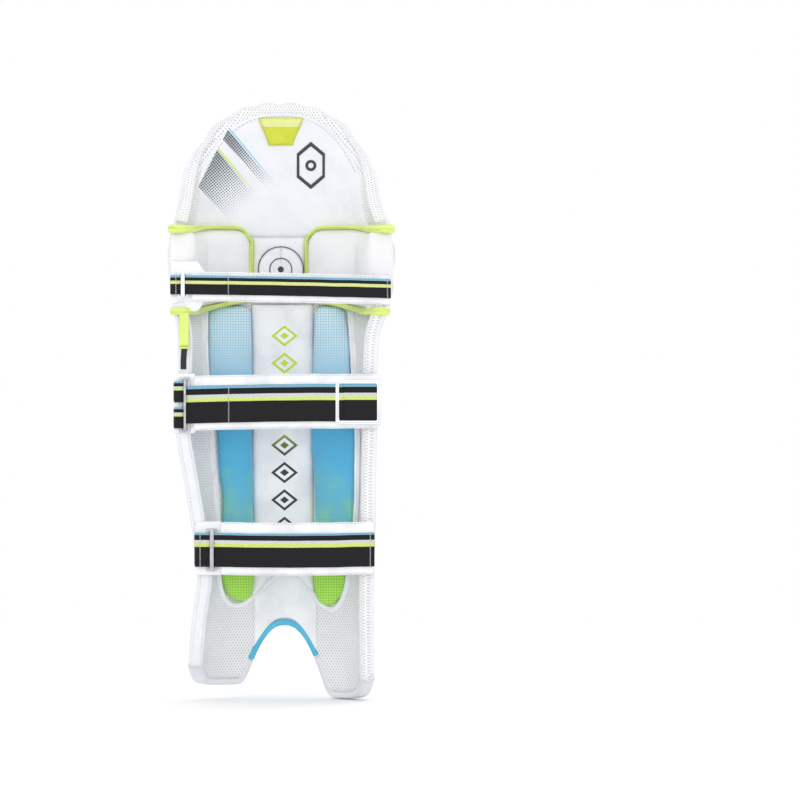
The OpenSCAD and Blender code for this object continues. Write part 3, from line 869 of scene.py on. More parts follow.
def ring_plastic():
    s = Shade("ring_plastic")
    place = s.place()
    tone = s.ramp(s.noise(place, 120, 3.0), 0.3, 0.7)
    scuff = s.ramp(s.noise(place, 700, 3.0), 0.4, 0.8, 0.3, 0.55)
    return s.finish(s.blend(tone, rgb("c9c8cd"), rgb("a9a8ae")), scuff, s.noise(place, 1500, 2.0), 0.00008)


def foam():
    s = Shade("foam")
    place = s.place()
    pores = s.cells(place, 900)
    # Painted shade: the foam is darker in its pores, where the bump is lowest.
    tone = s.ramp(pores, 0.2, 0.7)
    return s.finish(s.blend(tone, rgb("cfcfcc"), rgb("ececea")), 0.9, pores, 0.0005)


def hook_loop(name, pitch):
    s = Shade(name)
    place = s.place()
    loops = s.cells(place, 1 / pitch)
    # Painted shade: the fabric is darker in the dips between loops, where the bump is lowest.
    tone = s.ramp(loops, 0.1, 0.6)
    return s.finish(s.blend(tone, rgb("c8c9cc"), rgb("efeff1")), 0.85, loops, 0.0006, sheen=0.4)


def thread(name, tint):
    s = Shade(name)
    uv = s.cloth()
    x, y, _ = s.split(uv)
    twist = s.wave(s.math("ADD", x, s.math("MULTIPLY", y, 1.4)), 0.0008)
    # Painted shade: the thread is darker in the grooves of its twist, where the bump also dips.
    shade = tuple(c * 0.75 for c in tint[:3]) + (1.0,)
    return s.finish(s.blend(s.ramp(twist, 0.1, 0.8), shade, tint), 0.5, twist, 0.0002, sheen=0.2)


def ink(name, tint, rough=0.38):
    """Screen-printed ink on PU."""
    s = Shade(name)
    place = s.place()
    wear = s.ramp(s.noise(place, 900, 3.0), 0.62, 0.74, 0.0, 0.35)
    light = tuple(mix(c, 0.8, 0.4) for c in tint[:3]) + (1.0,)
    return s.finish(s.blend(wear, tint, light), rough, s.noise(place, 1500, 2.0), 0.00006)


# Stripes of the webbing, from its bottom edge up, as shares of its height
KNEE_BANDS = [(0, BLACK), (0.55, PALE_LIME), (0.72, BLACK), (0.89, STRAP_BLUE)]
CALF_BANDS = [(0, BLACK), (0.57, LIME), (0.67, WHITE_PU), (0.76, BLACK), (0.92, STRAP_BLUE)]
ANKLE_BANDS = [(0, BLACK), (0.59, LIME), (0.71, WHITE_PU), (0.79, BLACK), (0.94, STRAP_BLUE)]

MAT = {
    "pu": pu_leather("white_pu", WHITE_PU, WHITE_SHADE),
    # Painted light: the white PU in a lighter copy, for pieces that lie in shade.
    "pu_lit": pu_leather("lit_copy_pu", WHITE_PU_LIT, WHITE_PU),
    "strap_pu": pu_leather("strap_pu", rgb("f0f1f3"), rgb("dfe1e6"), 0.48),
    "blue_pu": pu_leather("blue_pu", rgb("58bfe0"), rgb("45abd0"), 0.45),
    "mesh": air_mesh("air_mesh", 0.0036),
    # Painted shade: the second colour is the darker knit cells.
    "knit": air_mesh("cushion_knit", 0.0019, rgb("f3f3f4"), rgb("dcdde0"), 0.00035),
    "lime": woven("lime_binding", LIME, LIME_DARK),
    "tag": woven("tag_weave", rgb("dbe33f"), rgb("c9d330"), 0.0009, 0.2, 0.5),
    "tag_light": woven("tag_weave_light", rgb("eef3a4"), rgb("e2ea8c"), 0.0009, 0.2, 0.5),
    "black_web": woven("black_webbing", BLACK, rgb("151416"), 0.0016, 0.25, 0.7),
    "print": printed_fabric(),
    "hat_panel": hat_panel_pu(),
    "centre_panel": centre_panel_pu(),
    "ring": ring_plastic(),
    "ring_white": pu_leather("ring_white", rgb("f0f0f2"), rgb("dfe0e3"), 0.3),
    "foam": foam(),
    "loop": hook_loop("loop_fabric", 0.0009),
    "hook": hook_loop("hook_fabric", 0.0014),
    "thread": thread("white_thread", rgb("f4f4f6")),
    "grey_thread": thread("grey_thread", rgb("dddee2")),
    "lime_thread": thread("lime_thread", rgb("cfe65a")),
    "ink": ink("dark_ink", rgb("2b3236")),
}


def paint(obj, key):
    obj.data.materials.clear()
    obj.data.materials.append(MAT[key] if isinstance(key, str) else key)
    return obj


def place(obj, body, slot, *nodes):
    """Puts a finished piece on its body and hides the CAD nodes that it stands for. The slot is not used."""
    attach(obj, body)
    if nodes:
        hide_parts(*nodes)
    return obj


# ---------------------------------------------------------------- striking face

def ripple(a, z, fine=0.35, broad=0.8, seed=0.0):
    """Small unevenness of a padded surface, in millimetres."""
    p = Vector((a / 9, z / 26, seed))
    q = Vector((a / 2.6, z / 8, seed + 7))
    return broad * noise.noise(p) + fine * noise.noise(q)


def piecewise(marks, counts):
    """Maps 0..1 evenly over stretches between marks that have the given numbers of columns."""
    total = sum(counts)

    def at(u):
        k = u * total
        for i, n in enumerate(counts):
            if k <= n or i == len(counts) - 1:
                return mix(marks[i], marks[i + 1], min(1.0, k / n))
            k -= n
    return at


def channel_depth(seams, bulge, groove, seed):
    """Outer depth of a face sewn in channels: puffed between the seams, puckered at them."""
    def depth(a, z):
        for i in range(len(seams) - 1):
            if seams[i] - 0.01 <= a <= seams[i + 1] + 0.01:
                w = clamp((a - seams[i]) / (seams[i + 1] - seams[i]))
                round_ = max(0.0, math.sin(math.pi * w)) ** 0.5
                near = 1 - round_
                pucker = 0.45 * near * noise.noise(Vector((i * 3.1, z / 2.2, seed)))
                drift = 0.6 * round_ * noise.noise(Vector((i * 5.3 + w, z / 34, seed + 3)))
                return groove - (bulge + groove) * round_ + pucker + drift
        return 0.0
    return depth


def shin_face():
    seams = [angle(f) for f in SHIN_SEAMS]
    lo_a, hi_a = angle(INSTEP_SIDES[0]), angle(INSTEP_SIDES[1])
    marks = seams[:2] + [lo_a, lo_a + 0.5] + seams[2:5] + [hi_a - 0.5, hi_a, seams[6]]
    counts = [14, 6, 1, 8, 14, 14, 14, 1, 14]
    depth = channel_depth(seams, 4.2, 2.0, 1.0)

    def low(a):
        return INSTEP_TOP_Z - 1 if lo_a + 0.2 < a < hi_a - 0.2 else sole(a)

    def t_front(a, z, u, s):
        t = depth(a, z) + rim(knee_seam(a) + 3 - z, 7)
        t += rim(z - low(a), 5) * (0.8 if low(a) < INSTEP_TOP_Z - 2 else 0.5)
        return t + ripple(a, z, 0.15, 0.5)

    obj = patch("shin_facing", sum(counts), 150, piecewise(marks, counts),
                between(low, lambda a: knee_seam(a) + 3), t_front, lambda a, z, u, s: 2.2)
    place(paint(obj, "pu"), "pad", "pu_white", "shin_face")
    runs = []
    for a in seams[1:-1]:
        stop = low(a + 0.01)
        path = [arch(a, z, 2.0) for z in steps(knee_seam(a) - 4, stop + 5, 5)]
        runs.append((path, lambda p, a=a: outward(a, p.z, 0)))
    threads("shin_stitches", runs, "grey_thread")


def steps(start, stop, size):
    n = max(1, round(abs(stop - start) / size))
    return [mix(start, stop, i / n) for i in range(n + 1)]


def threads(name, runs, key, body="pad", slot="pu_white", length=3.4, space=1.5, r=0.42):
    obj = stitches(name, runs, length, space, r)
    place(paint(obj, key), body, slot)
    return obj


def wing_wrinkles(a, z, side):
    """Diagonal folds where a wing bends below the knee."""
    zone = ease((z + 190) / 40) * ease((-72 - z) / 40)
    fold = math.sin((z + 1.6 * abs(a)) / 9 + 2 * noise.noise(Vector((a / 15, z / 30, 4))))
    return 0.9 * zone * fold * (1.0 if side < 0 else 0.4)


def wing(name, side, seam_f, node):
    seam = angle(seam_f)
    a0, a1 = sorted((side * 90, seam))

    def t_front(a, z, u, s):
        from_seam = abs(a - seam)
        t = -2.2 * math.sin(math.pi * clamp(from_seam / abs(side * 90 - seam))) ** 0.7
        t += 0.8 * (1 - ease(from_seam / 3)) + rim(z - sole(a), 5) + rim(knee_seam(a) + 3 - z, 6)
        return t + wing_wrinkles(a, z, side) + ripple(a, z, 0.3, 0.9, side)

    obj = patch(name, 36, 150, through(a0, a1), between(sole, lambda a: knee_seam(a) + 3),
                t_front, lambda a, z, u, s: 2.2)
    place(paint(obj, "pu"), "pad", "pu_white", node)
    path = [arch(seam, z, 0.6) for z in steps(knee_seam(seam) - 4, sole(seam) + 5, 5)]
    threads(name + "_stitches", [(path, lambda p: outward(seam, p.z, 0))], "grey_thread")


INSTEP_LOW_A, INSTEP_HIGH_A = angle(INSTEP_SIDES[0]) + 0.3, angle(INSTEP_SIDES[1]) - 0.3


def instep_depth(a, z):
    """Depth of the smooth instep panel, pulled down at its seams."""
    u = (a - INSTEP_LOW_A) / (INSTEP_HIGH_A - INSTEP_LOW_A)
    s = (z - sole(a)) / (INSTEP_TOP_Z - sole(a))
    full = (1 - abs(2 * clamp(u) - 1) ** 5) * (1 - abs(2 * clamp(s) - 1) ** 7)
    pull = 0.5 * math.sin(z / 11 + 3 * u) * (1 - full)
    return 0.8 - 5.2 * clamp(full) ** 0.6 + pull + ripple(a, z, 0.1, 0.8, 5)


def instep_panel():
    lo_a, hi_a = INSTEP_LOW_A, INSTEP_HIGH_A
    obj = patch("instep_facing", 60, 60, through(lo_a, hi_a), between(sole, level(INSTEP_TOP_Z)),
                lambda a, z, u, s: instep_depth(a, z), lambda a, z, u, s: 2.2)
    place(paint(obj, "pu"), "pad", "pu_white", "instep_panel")
    inset = 2.2
    path = [arch(lo_a + inset, z, 0) for z in steps(sole(lo_a) + 8, INSTEP_TOP_Z - 5, 4)]
    path += [arch(a, INSTEP_TOP_Z - 5, 0) for a in steps(lo_a + inset, hi_a - inset, 2)]
    path += [arch(hi_a - inset, z, 0) for z in steps(INSTEP_TOP_Z - 5, sole(hi_a) + 8, 4)]
    path = [p + Vector((0, 1.6, 0)) for p in path]
    threads("instep_stitches", [(path, lambda p: Vector((0, 1, 0)))], "grey_thread")


def knee_roll(name, low, high, node, seed):
    start, end = angle(KNEE_WING_SEAM), 85.0
    bulge = 13.5

    def t_front(a, z, u, s):
        taper = ease((end - a) / 30) * ease((a - start) / 7 + 0.25)
        round_ = math.sin(math.pi * clamp(s)) ** 0.5
        gather = (1 - round_) * 0.9 * noise.noise(Vector((a / 1.7, seed, 0)))
        lump = 1.1 * noise.noise(Vector((a / 16, s * 1.4, seed)))
        return 2.0 - (2.0 + bulge * mix(0.2, 1, taper)) * round_ + gather + lump * round_

    obj = patch(name, 110, 26, through(start, end), between(low, high), t_front,
                lambda a, z, u, s: 6.0)
    place(paint(obj, "pu"), "pad", "pu_white", node)


def knee_wing():
    start, end = -85.0, angle(KNEE_WING_SEAM)

    def t_front(a, z, u, s):
        round_ = (math.sin(math.pi * clamp(s)) ** 0.35) * (1 - abs(2 * u - 1) ** 4)
        return 2 - 7 * clamp(round_) ** 0.6 + ripple(a, z, 0.4, 1.0, 11)

    obj = patch("knee_side_wing", 34, 50, through(start, end), between(knee_seam, hat_seam), t_front,
                lambda a, z, u, s: 7.0)
    place(paint(obj, "pu"), "pad", "pu_white", "knee_wing")


def top_hat_face():
    seams = [angle(f) for f in HAT_SEAMS]
    seams = [-HAT_END] + seams[1:-1] + [HAT_END]
    counts = [18] + [14] * (len(seams) - 3) + [18]
    depth = channel_depth(seams, 4.2, 2.2, 21.0)

    def t_front(a, z, u, s):
        return depth(a, z) + rim(hat_rim(a) - z, 8) + ripple(a, z, 0.12, 0.5, 3)

    obj = patch("top_hat_facing", sum(counts), 70, piecewise(seams, counts), between(hat_foot, hat_rim),
                t_front, lambda a, z, u, s: 5.0 + rim(hat_rim(a) - z, 8))
    place(paint(obj, "pu"), "pad", "pu_white", "top_hat_face")
    runs = []
    for a in seams[1:-1]:
        path = [arch(a, z, 2.2) for z in steps(hat_seam(a) + 4, hat_top(a) - 8, 5)]
        runs.append((path, lambda p, a=a: outward(a, p.z, 0)))
    threads("top_hat_stitches", runs, "grey_thread")


# ---------------------------------------------------------------- leg side

def on_lining(a, z, h):
    """Point at height h above the leg side of the padding."""
    return arch(a, z, pad_t(a, z) + h)


def shin_lining():
    def t_back(a, z, u, s):
        rims = rim(z - sole(a), 5), rim(knee_seam(a) + 3 - z, 3)
        return pad_t(a, z) - rims[0] - rims[1] + ripple(a, z, 0.3, 1.0, 31) * 0.6

    obj = patch("shin_mesh_lining", 150, 120, through(-90, 90), between(sole, lambda a: knee_seam(a) + 3),
                lambda a, z, u, s: pad_t(a, z) - 3, t_back)
    place(paint(obj, "mesh"), "pad", "mesh_white", "shin_lining")


def knee_lining():
    """Mesh behind the knee cushions, between the top hat and the shin."""
    obj = patch("knee_mesh_lining", 90, 20, through(-86, 86),
                between(lambda a: knee_seam(a) - 1, lambda a: hat_seam(a) + 2),
                lambda a, z, u, s: pad_t(a, z) - 3, lambda a, z, u, s: pad_t(a, z) + 1.3)
    place(paint(obj, "mesh"), "pad", "mesh_white")


def top_hat_border():
    def t_back(a, z, u, s):
        return pad_t(a, z) + 0.8 - rim(hat_rim(a) - z, 8) + ripple(a, z, 0.3, 0.5, 41)

    obj = patch("top_hat_mesh", 160, 60, through(-HAT_END, HAT_END), between(hat_foot, hat_rim),
                lambda a, z, u, s: 3.5 + rim(hat_rim(a) - z, 8), t_back)
    place(paint(obj, "mesh"), "pad", "mesh_white", "top_hat_border")
    # a soft roll closes the outline between the face and the mesh
    rise = steps(36, hat_rim(HAT_END) - 4, 3)
    route = [(-HAT_END, z) for z in rise]
    route += [(a, hat_rim(a) - 2.2) for a in steps(-HAT_END, HAT_END, 0.8)]
    route += [(HAT_END, z) for z in rise[::-1]]
    path = relax([arch(a, z, 8.5) for a, z in route], 3)
    roll = tape("top_hat_roll", path, lambda i: outward(route[i][0], route[i][1], 8),
                lambda f: 6.8, lambda f: 3.2, sides=20, power=0.8)
    place(paint(roll, "mesh"), "pad", "mesh_white")


def hat_panel_edge(a):
    return hat_top(a) - 11 - 5 * abs(math.sin(math.radians(a))) ** 3


def top_hat_panel():
    side = 67.0
    base = 22.0

    def t_back(a, z, u, s):
        full = (1 - abs(2 * u - 1) ** 9) * (1 - abs(2 * s - 1) ** 12)
        return pad_t(a, z) + 1.2 + 4.4 * clamp(full) ** 0.55 + ripple(a, z, 0.2, 0.9, 51)

    obj = patch("top_hat_panel_pu", 90, 70, through(-side, side), between(level(base), hat_panel_edge),
                lambda a, z, u, s: pad_t(a, z) - 1, t_back)
    place(paint(obj, "hat_panel"), "pad", "pu_white", "top_hat_panel")
    path = [on_lining(a, hat_panel_edge(a) - 4, 5.2) for a in steps(-side + 5, side - 5, 2)]
    threads("top_hat_panel_stitches", [(path, lambda p: Vector((0, -1, 0)))], "thread")


def top_tag():
    """Lime tab at the crown, wider at the top, with a paler strip."""
    low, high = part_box("top_tag")
    top, bottom = high.z / MM, low.z / MM
    half_top, half_low = 26.0, 14.5

    def strip(name, z0, z1, lift, key, grow=0.0):
        def corner(u, s, back):
            z = mix(z0, z1, s)
            f = (z - bottom) / (top - bottom)
            half = mix(half_low, half_top, ease(f) * 0.6 + f * 0.4) + grow
            x = mix(-half, half, u)
            a = inner_angle(x, z)
            y = on_lining(a, z, 5.4).y - lift
            return Vector((x, y + (0.9 if back else 0.0), z))
        obj = slab(name, 24, 16, lambda u, s: corner(u, s, True), lambda u, s: corner(u, s, False))
        return paint(wrap_uv(obj), key)

    body = strip("crown_tag", bottom, top, 1.4, "tag")
    place(body, "pad", "lime_fabric", "top_tag")
    pale = strip("crown_tag_strip", mix(bottom, top, 0.66), top - 0.8, 2.1, "tag_light", -0.8)
    place(pale, "pad", "lime_fabric")
    outline = []
    for f, sx in ((0.95, -1), (0.05, -1), (0.05, 1), (0.95, 1)):
        half = mix(half_low, half_top, f) - 1.6
        z = mix(bottom, top, f)
        outline.append(Vector((sx * half, on_lining(0, z, 8.0).y, z)))
    threads("tag_stitches", [(outline, lambda p: Vector((0, -1, 0)))], "lime_thread", slot="lime_fabric",
            length=2.2, space=1.0, r=0.3)


def plain_mark(name, centre_x, centre_z, surface, r, stretch):
    """A plain printed mark, a hexagon outline round a ring. surface(x, z, k) is a point just
    under (k = 0) or just over (k = 1) the surface it is printed on."""

    def ring(sides, r, w, stretch, n):
        verts, faces = [], []
        for i in range(n):
            t = 2 * math.pi * i / n
            half = math.pi / sides
            cut = math.cos(half) / math.cos((t % (2 * half)) - half) if sides < 40 else 1.0
            for radius in (r * cut, (r - w) * cut):
                for k in (0, 1):
                    verts.append(surface(centre_x + radius * math.sin(t),
                                         centre_z + radius * stretch * math.cos(t), k))
        for i in range(n):
            a, b = 4 * i, 4 * ((i + 1) % n)
            for p, q in ((0, 1), (1, 3), (3, 2), (2, 0)):
                faces.append((a + p, a + q, b + q, b + p))
        return finish_mesh("mark_ring", verts, faces)

    mark = join_parts(name, [ring(6, r, r * 0.18, stretch, 96), ring(64, r * 0.34, r * 0.17, 1.0, 40)])
    place(paint(wrap_uv(mark), "ink"), "pad", "badge_print")


def hat_mark():
    low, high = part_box("top_hat_panel")

    def surface(x, z, k):
        return Vector((x, on_lining(inner_angle(x, z), z, 5.3 + 1.05 * k).y, z))
    plain_mark("top_hat_mark", mix(low.x, high.x, 0.68) / MM, mix(low.z, high.z, 0.5) / MM, surface, 19, 1.45)


def instep_mark():
    low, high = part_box("instep_panel")

    def surface(x, z, k):
        a = angle(clamp(x / smooth(OUTER_W if x < 0 else INNER_W, z), -1, 1))
        y = max(arch(a, z, instep_depth(a, z)).y, 0.0)
        return Vector((x, y - 0.6 + 1.0 * k, z))
    plain_mark("instep_mark", mix(low.x, high.x, 0.5) / MM, high.z / MM - 36, surface, 15.5, 1.5)


def knee_cup():
    lo_a, hi_a = inner_angle(-36, 0), inner_angle(31, 0)
    base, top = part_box("knee_cup")[0].z / MM - 6, 21.5

    def t_back(a, z, u, s):
        full = (1 - abs(2 * u - 1) ** 4) * (1 - abs(2 * s - 1) ** 6)
        return pad_t(a, z) + 2 + 7.5 * clamp(full) ** 0.6 + ripple(a, z, 0.2, 0.8, 61)

    obj = patch("knee_cup_pu", 50, 60, through(lo_a, hi_a), between(level(base), level(top)),
                lambda a, z, u, s: pad_t(a, z), t_back)
    place(paint(obj, "pu"), "pad", "pu_white", "knee_cup")


def knee_badge():
    """Plain badge on the knee cup: a ring, an open inner ring and a dot."""
    low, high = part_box("knee_badge")
    centre = Vector(((low.x + high.x) / 2, 0, (low.z + high.z) / 2)) / MM
    r = (high.x - low.x) / 2 / MM
    y = low.y / MM

    def band(r0, r1, t0, t1, n):
        verts, faces = [], []
        for i in range(n + 1):
            t = mix(t0, t1, i / n)
            for radius in (r0, r1):
                for dy in (0.0, 1.4):
                    verts.append(centre + Vector((radius * math.sin(t), y + dy, radius * math.cos(t))))
        for i in range(n):
            a, b = 4 * i, 4 * i + 4
            for p, q in ((0, 2), (2, 3), (3, 1), (1, 0)):
                faces.append((a + p, a + q, b + q, b + p))
        faces += [(0, 1, 3, 2), (4 * n, 4 * n + 2, 4 * n + 3, 4 * n + 1)]
        return finish_mesh("badge_band", verts, faces)

    disc = slab("badge_disc", 40, 6,
                lambda u, s: centre + Vector(((r - 0.4) * s * math.sin(2 * math.pi * u), y + 1.8,
                                              (r - 0.4) * s * math.cos(2 * math.pi * u))),
                lambda u, s: centre + Vector(((r - 0.4) * s * math.sin(2 * math.pi * u), y + 0.5,
                                              (r - 0.4) * s * math.cos(2 * math.pi * u))))
    place(paint(wrap_uv(disc), "pu"), "pad", "pu_white")
    ring = join_parts("badge_ring", [band(r, r - 1.0, 0, 2 * math.pi, 96),
                                     band(r * 0.5, r * 0.5 - 1.2, -1.9, 1.9, 40),
                                     band(r * 0.13, 0.2, 0, 2 * math.pi, 24)])
    place(paint(wrap_uv(ring), "ink"), "pad", "badge_print", "knee_badge")


def nearest_to(*nodes, reach=3.2):
    """A test for points that lie within reach of any of the CAD nodes."""
    from mathutils.bvhtree import BVHTree
    trees = []
    for node in nodes:
        bm = bmesh.new()
        bm.from_mesh(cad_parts[node].data)
        trees.append(BVHTree.FromBMesh(bm))
        bm.free()

    def test(co):
        return any(tree.find_nearest(co * MM, reach * MM)[0] is not None for tree in trees)
    return test


# ---------------------------------------------------------------- knee cushions

CUSHION_TOP = 33.0
CUSHION_CORNER = 20.0


def cushion_edges(inner_x):
    """Lower and upper edge of a knee cushion, rounded at its inner end."""
    def corner(a, z):
        d = abs(arch(a, 0, pad_t(a, 0)).x - inner_x)
        return rim(d, CUSHION_CORNER)

    def high(a):
        return CUSHION_TOP - 4 * ease((abs(a) - 50) / 40) - corner(a, 0)

    def low(a):
        x = abs(arch(a, 0, pad_t(a, 0)).x)
        return -55 - 13 * clamp((x - 60) / 60) ** 1.3 + 0.6 * corner(a, 0)
    return low, high


def knee_cushion(name, side, inner_x, bolster, binding):
    inner = inner_angle(inner_x, 0)
    end = side * 90.0
    low, high = cushion_edges(inner_x)
    wrap = 83.5

    def t_front(a, z, u, s):
        return mix(pad_t(a, z) + 0.2, -1.5, ease((abs(a) - wrap) / 2.5))

    def t_back(a, z, u, s):
        w = clamp(abs(a - inner) / abs(end - inner))
        full = (1 - (1 - w) ** 3.5) * (1 - abs(2 * s - 1) ** 7) * (1 - 0.35 * ease((w - 0.85) / 0.15))
        return pad_t(a, z) + 3.5 + 14.5 * clamp(full) ** 0.55

    a0, a1 = sorted((inner, end))
    obj = patch(name, 60, 56, through(a0, a1), between(low, high), t_front, t_back)
    puff(obj, nearest_to("knee_base_foam", "shin_lining", "top_hat_border", "knee_wing", "knee_roll_middle"),
         voxel=4.0, cap=5.5)
    place(paint(obj, "knit"), "pad", "mesh_white", bolster)

    # the lime tape runs along the top, down the inner end and back along the bottom
    route = [(a, high(a)) for a in steps(side * 88, inner, 1.5)]
    route += [(inner, z) for z in steps(high(inner), low(inner), 3)]
    route += [(a, low(a)) for a in steps(inner, side * 86, 1.5)]
    path = []
    for a, z in route:
        lift = 4.5 + 6.5 * clamp((abs(a - inner) - 3) / 14)
        path.append(on_lining(a, z, lift))
    path = resample(spline(path[::2], 4), 2.0)
    for at_start, z in ((True, high(end)), (False, low(end))):
        # round the end of the wing to its outer face
        rounding = [arch(end, z, mix(pad_t(end, z), 0.0, f)) - Vector((0, 6.5, 0))
                    for f in (0.25, 0.5, 0.75, 0.95)]
        rounding += [arch(end, z, -1.0) - Vector((0, 3.5, 0)), arch(end, z, -1.2) + Vector((0, 2, 0))]
        path = resample(spline(rounding[::-1] + path[2:], 3), 2.0) if at_start else \
            resample(spline(path[:-2] + rounding, 3), 2.0)
    share = len([1 for a, z in route if z > 0]) / len(route)

    def deep(f):
        return mix(5.2, 2.0, ease(f / (share * 0.6))) if f < share else mix(2.2, 4.5, ease((f - 0.6) / 0.4))

    path = relax(path, 8)
    edge = tape(name + "_tape", path, lambda i: Vector((0, -1, 0)), lambda f: 4.2, deep, power=0.8)
    place(paint(edge, "lime"), "pad", "lime_fabric", binding)
    seam = [p + Vector((0, -4.4, 0)) for p in path[4:-4]]
    threads(name + "_stitches", [(seam, lambda p: Vector((0, -1, 0)))], "lime_thread", slot="lime_fabric",
            length=2.4, space=1.6, r=0.3)


# ---------------------------------------------------------------- shin cushions and panels

OUTER_LEFT = through_points([(-410, -66), (-369, -71), (-300, -71.5), (-208, -79), (-124, -86), (-60, -87)])
OUTER_RIGHT = through_points([(-405, -37), (-300, -36), (-124, -36), (-60, -38)])
INNER_LEFT = through_points([(-410, 46), (-369, 42.5), (-310, 45), (-208, 40), (-124, 42), (-60, 44)])
INNER_RIGHT = through_points([(-414, 74), (-369, 78.5), (-300, 86), (-208, 87), (-124, 83), (-60, 80)])


def shin_cushion(name, left, right, node, low, hollow):
    top = -57.0

    def t_back(a, z, u, s):
        full = (1 - abs(2 * u - 1) ** 3.2) * (1 - abs(2 * s - 1) ** 26)
        return pad_t(a, z) + 4.0 + 11 * clamp(full) ** 0.55

    obj = panel(name, 22, 130, left, right, low, top, lambda a, z, u, s: pad_t(a, z) - 0.6, t_back,
                hollow_low=hollow, hollow_high=6)
    puff(obj, nearest_to("shin_lining", "instep_lining"), voxel=4.0, cap=5.0)
    place(paint(obj, "print"), "pad", "printed_fabric", node)


def arch_line(x):
    """Height of the arch that the W of piping makes over the instep lining."""
    return -370 - 36 * (abs(x - 5) / 42) ** 1.6


def centre_cushion():
    top = -57.0

    def t_back(a, z, u, s):
        full = (1 - abs(2 * u - 1) ** 4) * (1 - abs(2 * s - 1) ** 30)
        return pad_t(a, z) + 2 + 8.5 * clamp(full) ** 0.6 + ripple(a, z, 0.2, 0.9, 71)

    def layer(depth):
        def point(u, s):
            x = mix(-36.5, 41.0, u)
            z = mix(arch_line(x) + 2, top, s)
            x += 2.0 * ease((z + 330) / -50) * (2 * u - 1)
            a = inner_angle(x, z)
            return arch(a, z, depth(a, z, u, s))
        return point
    obj = wrap_uv(slab("centre_cushion", 40, 130, layer(lambda a, z, u, s: pad_t(a, z)), layer(t_back)))
    place(paint(obj, "centre_panel"), "pad", "pu_white", "centre_bolster")


def w_piping():
    """White band round the shin cushions: down the outer side, a W at the bottom, up the inner side."""
    route = [(OUTER_LEFT(z) - 2.0, z) for z in (-57, -90, -124, -166, -208, -250, -300, -345)]
    route += [(-72.5, -372), (-69, -394), (-61, -406), (-49, -409), (-38, -403)]
    route += [(x, arch_line(x) - 1) for x in (-24, -12, -3, 5, 13, 22, 34)]
    route += [(46, -406), (58, -414), (68, -408), (76, -390)]
    route += [(INNER_RIGHT(z) + 2.0, z) for z in (-360, -330, -290, -250, -208, -166, -124, -90, -57)]
    flat_path = resample(spline([Vector((x, 0, z)) for x, z in route], 10), 3.0)
    path = []
    for p in flat_path:
        q = on_lining(inner_angle(p.x, p.z), p.z, 2.2)
        path.append(Vector((p.x, q.y, p.z)))
    band = tape("w_piping", path, lambda i: Vector((0, -1, 0)), lambda f: 3.4,
                lambda f: 4.3 - 1.0 * ease((0.5 - abs(f - 0.5)) / 0.25), power=0.75)
    # Painted light: the piping gets the lighter copy of the white PU.
    place(paint(band, "pu_lit"), "pad", "pu_white", "bolster_piping")
    seam = [p + Vector((0, -3.1, 0)) for p in path]
    threads("w_piping_stitches", [(seam, lambda p: Vector((0, -1, 0)))], "grey_thread",
            length=2.6, space=1.6, r=0.3)


def instep_lining_panel():
    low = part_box("instep_lining")[0].z / MM

    def t_back(a, z, u, s):
        full = (1 - abs(2 * u - 1) ** 8) * (1 - abs(2 * s - 1) ** 8)
        return pad_t(a, z) + 0.8 + 1.8 * clamp(full) ** 0.6 + ripple(a, z, 0.2, 0.8, 81)

    def point(depth):
        def at(u, s):
            # the lower edge follows the notch, the upper one the arch of the piping
            x = mix(-34, 45, u)
            a = inner_angle(x, -420)
            z = mix(max(sole(a) + 3.5, low), arch_line(x), s)
            a = inner_angle(x, z)
            return arch(a, z, depth(a, z, u, s))
        return at
    obj = wrap_uv(slab("instep_lining_pu", 40, 40, point(lambda a, z, u, s: pad_t(a, z)), point(t_back)))
    # Painted light: the instep lining gets the lighter copy of the white PU.
    place(paint(obj, "pu_lit"), "pad", "pu_white", "instep_lining")


# ---------------------------------------------------------------- bindings of the outline

def sole_tape(name, a0, a1, key, slot, node, deep, lap=1.4):
    n = 90
    angles = [mix(a0, a1, i / n) for i in range(n + 1)]
    path = [arch(a, sole(a) - 0.5, pad_t(a, -470) / 2) for a in angles]
    obj = tape(name, path, lambda i: outward(angles[i], path[i].z, 8),
               lambda f: pad_t(mix(a0, a1, f), -470) / 2 + lap, lambda f: deep, sides=24, power=0.55)
    place(paint(obj, key), "pad", slot, node)
    runs = []
    for back in (1, -1):
        seam = []
        for a in angles[2:-2]:
            depth = -1.5 if back > 0 else pad_t(a, -470) + 1.5
            seam.append(arch(a, sole(a) + deep * 0.45, depth))
        runs.append((seam, lambda p, back=back: Vector((0, back, 0))))
    threads(name + "_stitches", runs, "thread", slot=slot, length=2.6, space=1.6, r=0.3)


def edge_tape(name, side, key, slot, node):
    low = sole(side * 89.9) - 3.5
    heights = steps(low, -56, 4)
    path = [arch(side * 90, z, EDGE_T / 2 + 0.3) + Vector((0, 1.0, 0)) for z in heights]

    def across(f):
        return (EDGE_T / 2 + 1.6) * (1 - 0.25 * rim(f * (heights[-1] - low), 6) / 6)

    def deep(f):
        return 4.4 - 2.5 * rim(f * (heights[-1] - low), 4) / 4
    obj = tape(name, path, lambda i: Vector((1, 0, 0)), across, deep, sides=24, power=0.6)
    place(paint(obj, key), "pad", slot, node)
    seam = [p + Vector((-side * (EDGE_T / 2 - 1.5), -4.2, 0)) for p in path[1:-1]]
    outer = [p + Vector((side * (EDGE_T / 2 - 2.5), -4.1, 0)) for p in path[1:-1]]
    threads(name + "_stitches", [(s, lambda p: Vector((0, -1, 0))) for s in (seam, outer)], "grey_thread",
            length=2.8, space=1.6, r=0.32)


# ---------------------------------------------------------------- straps

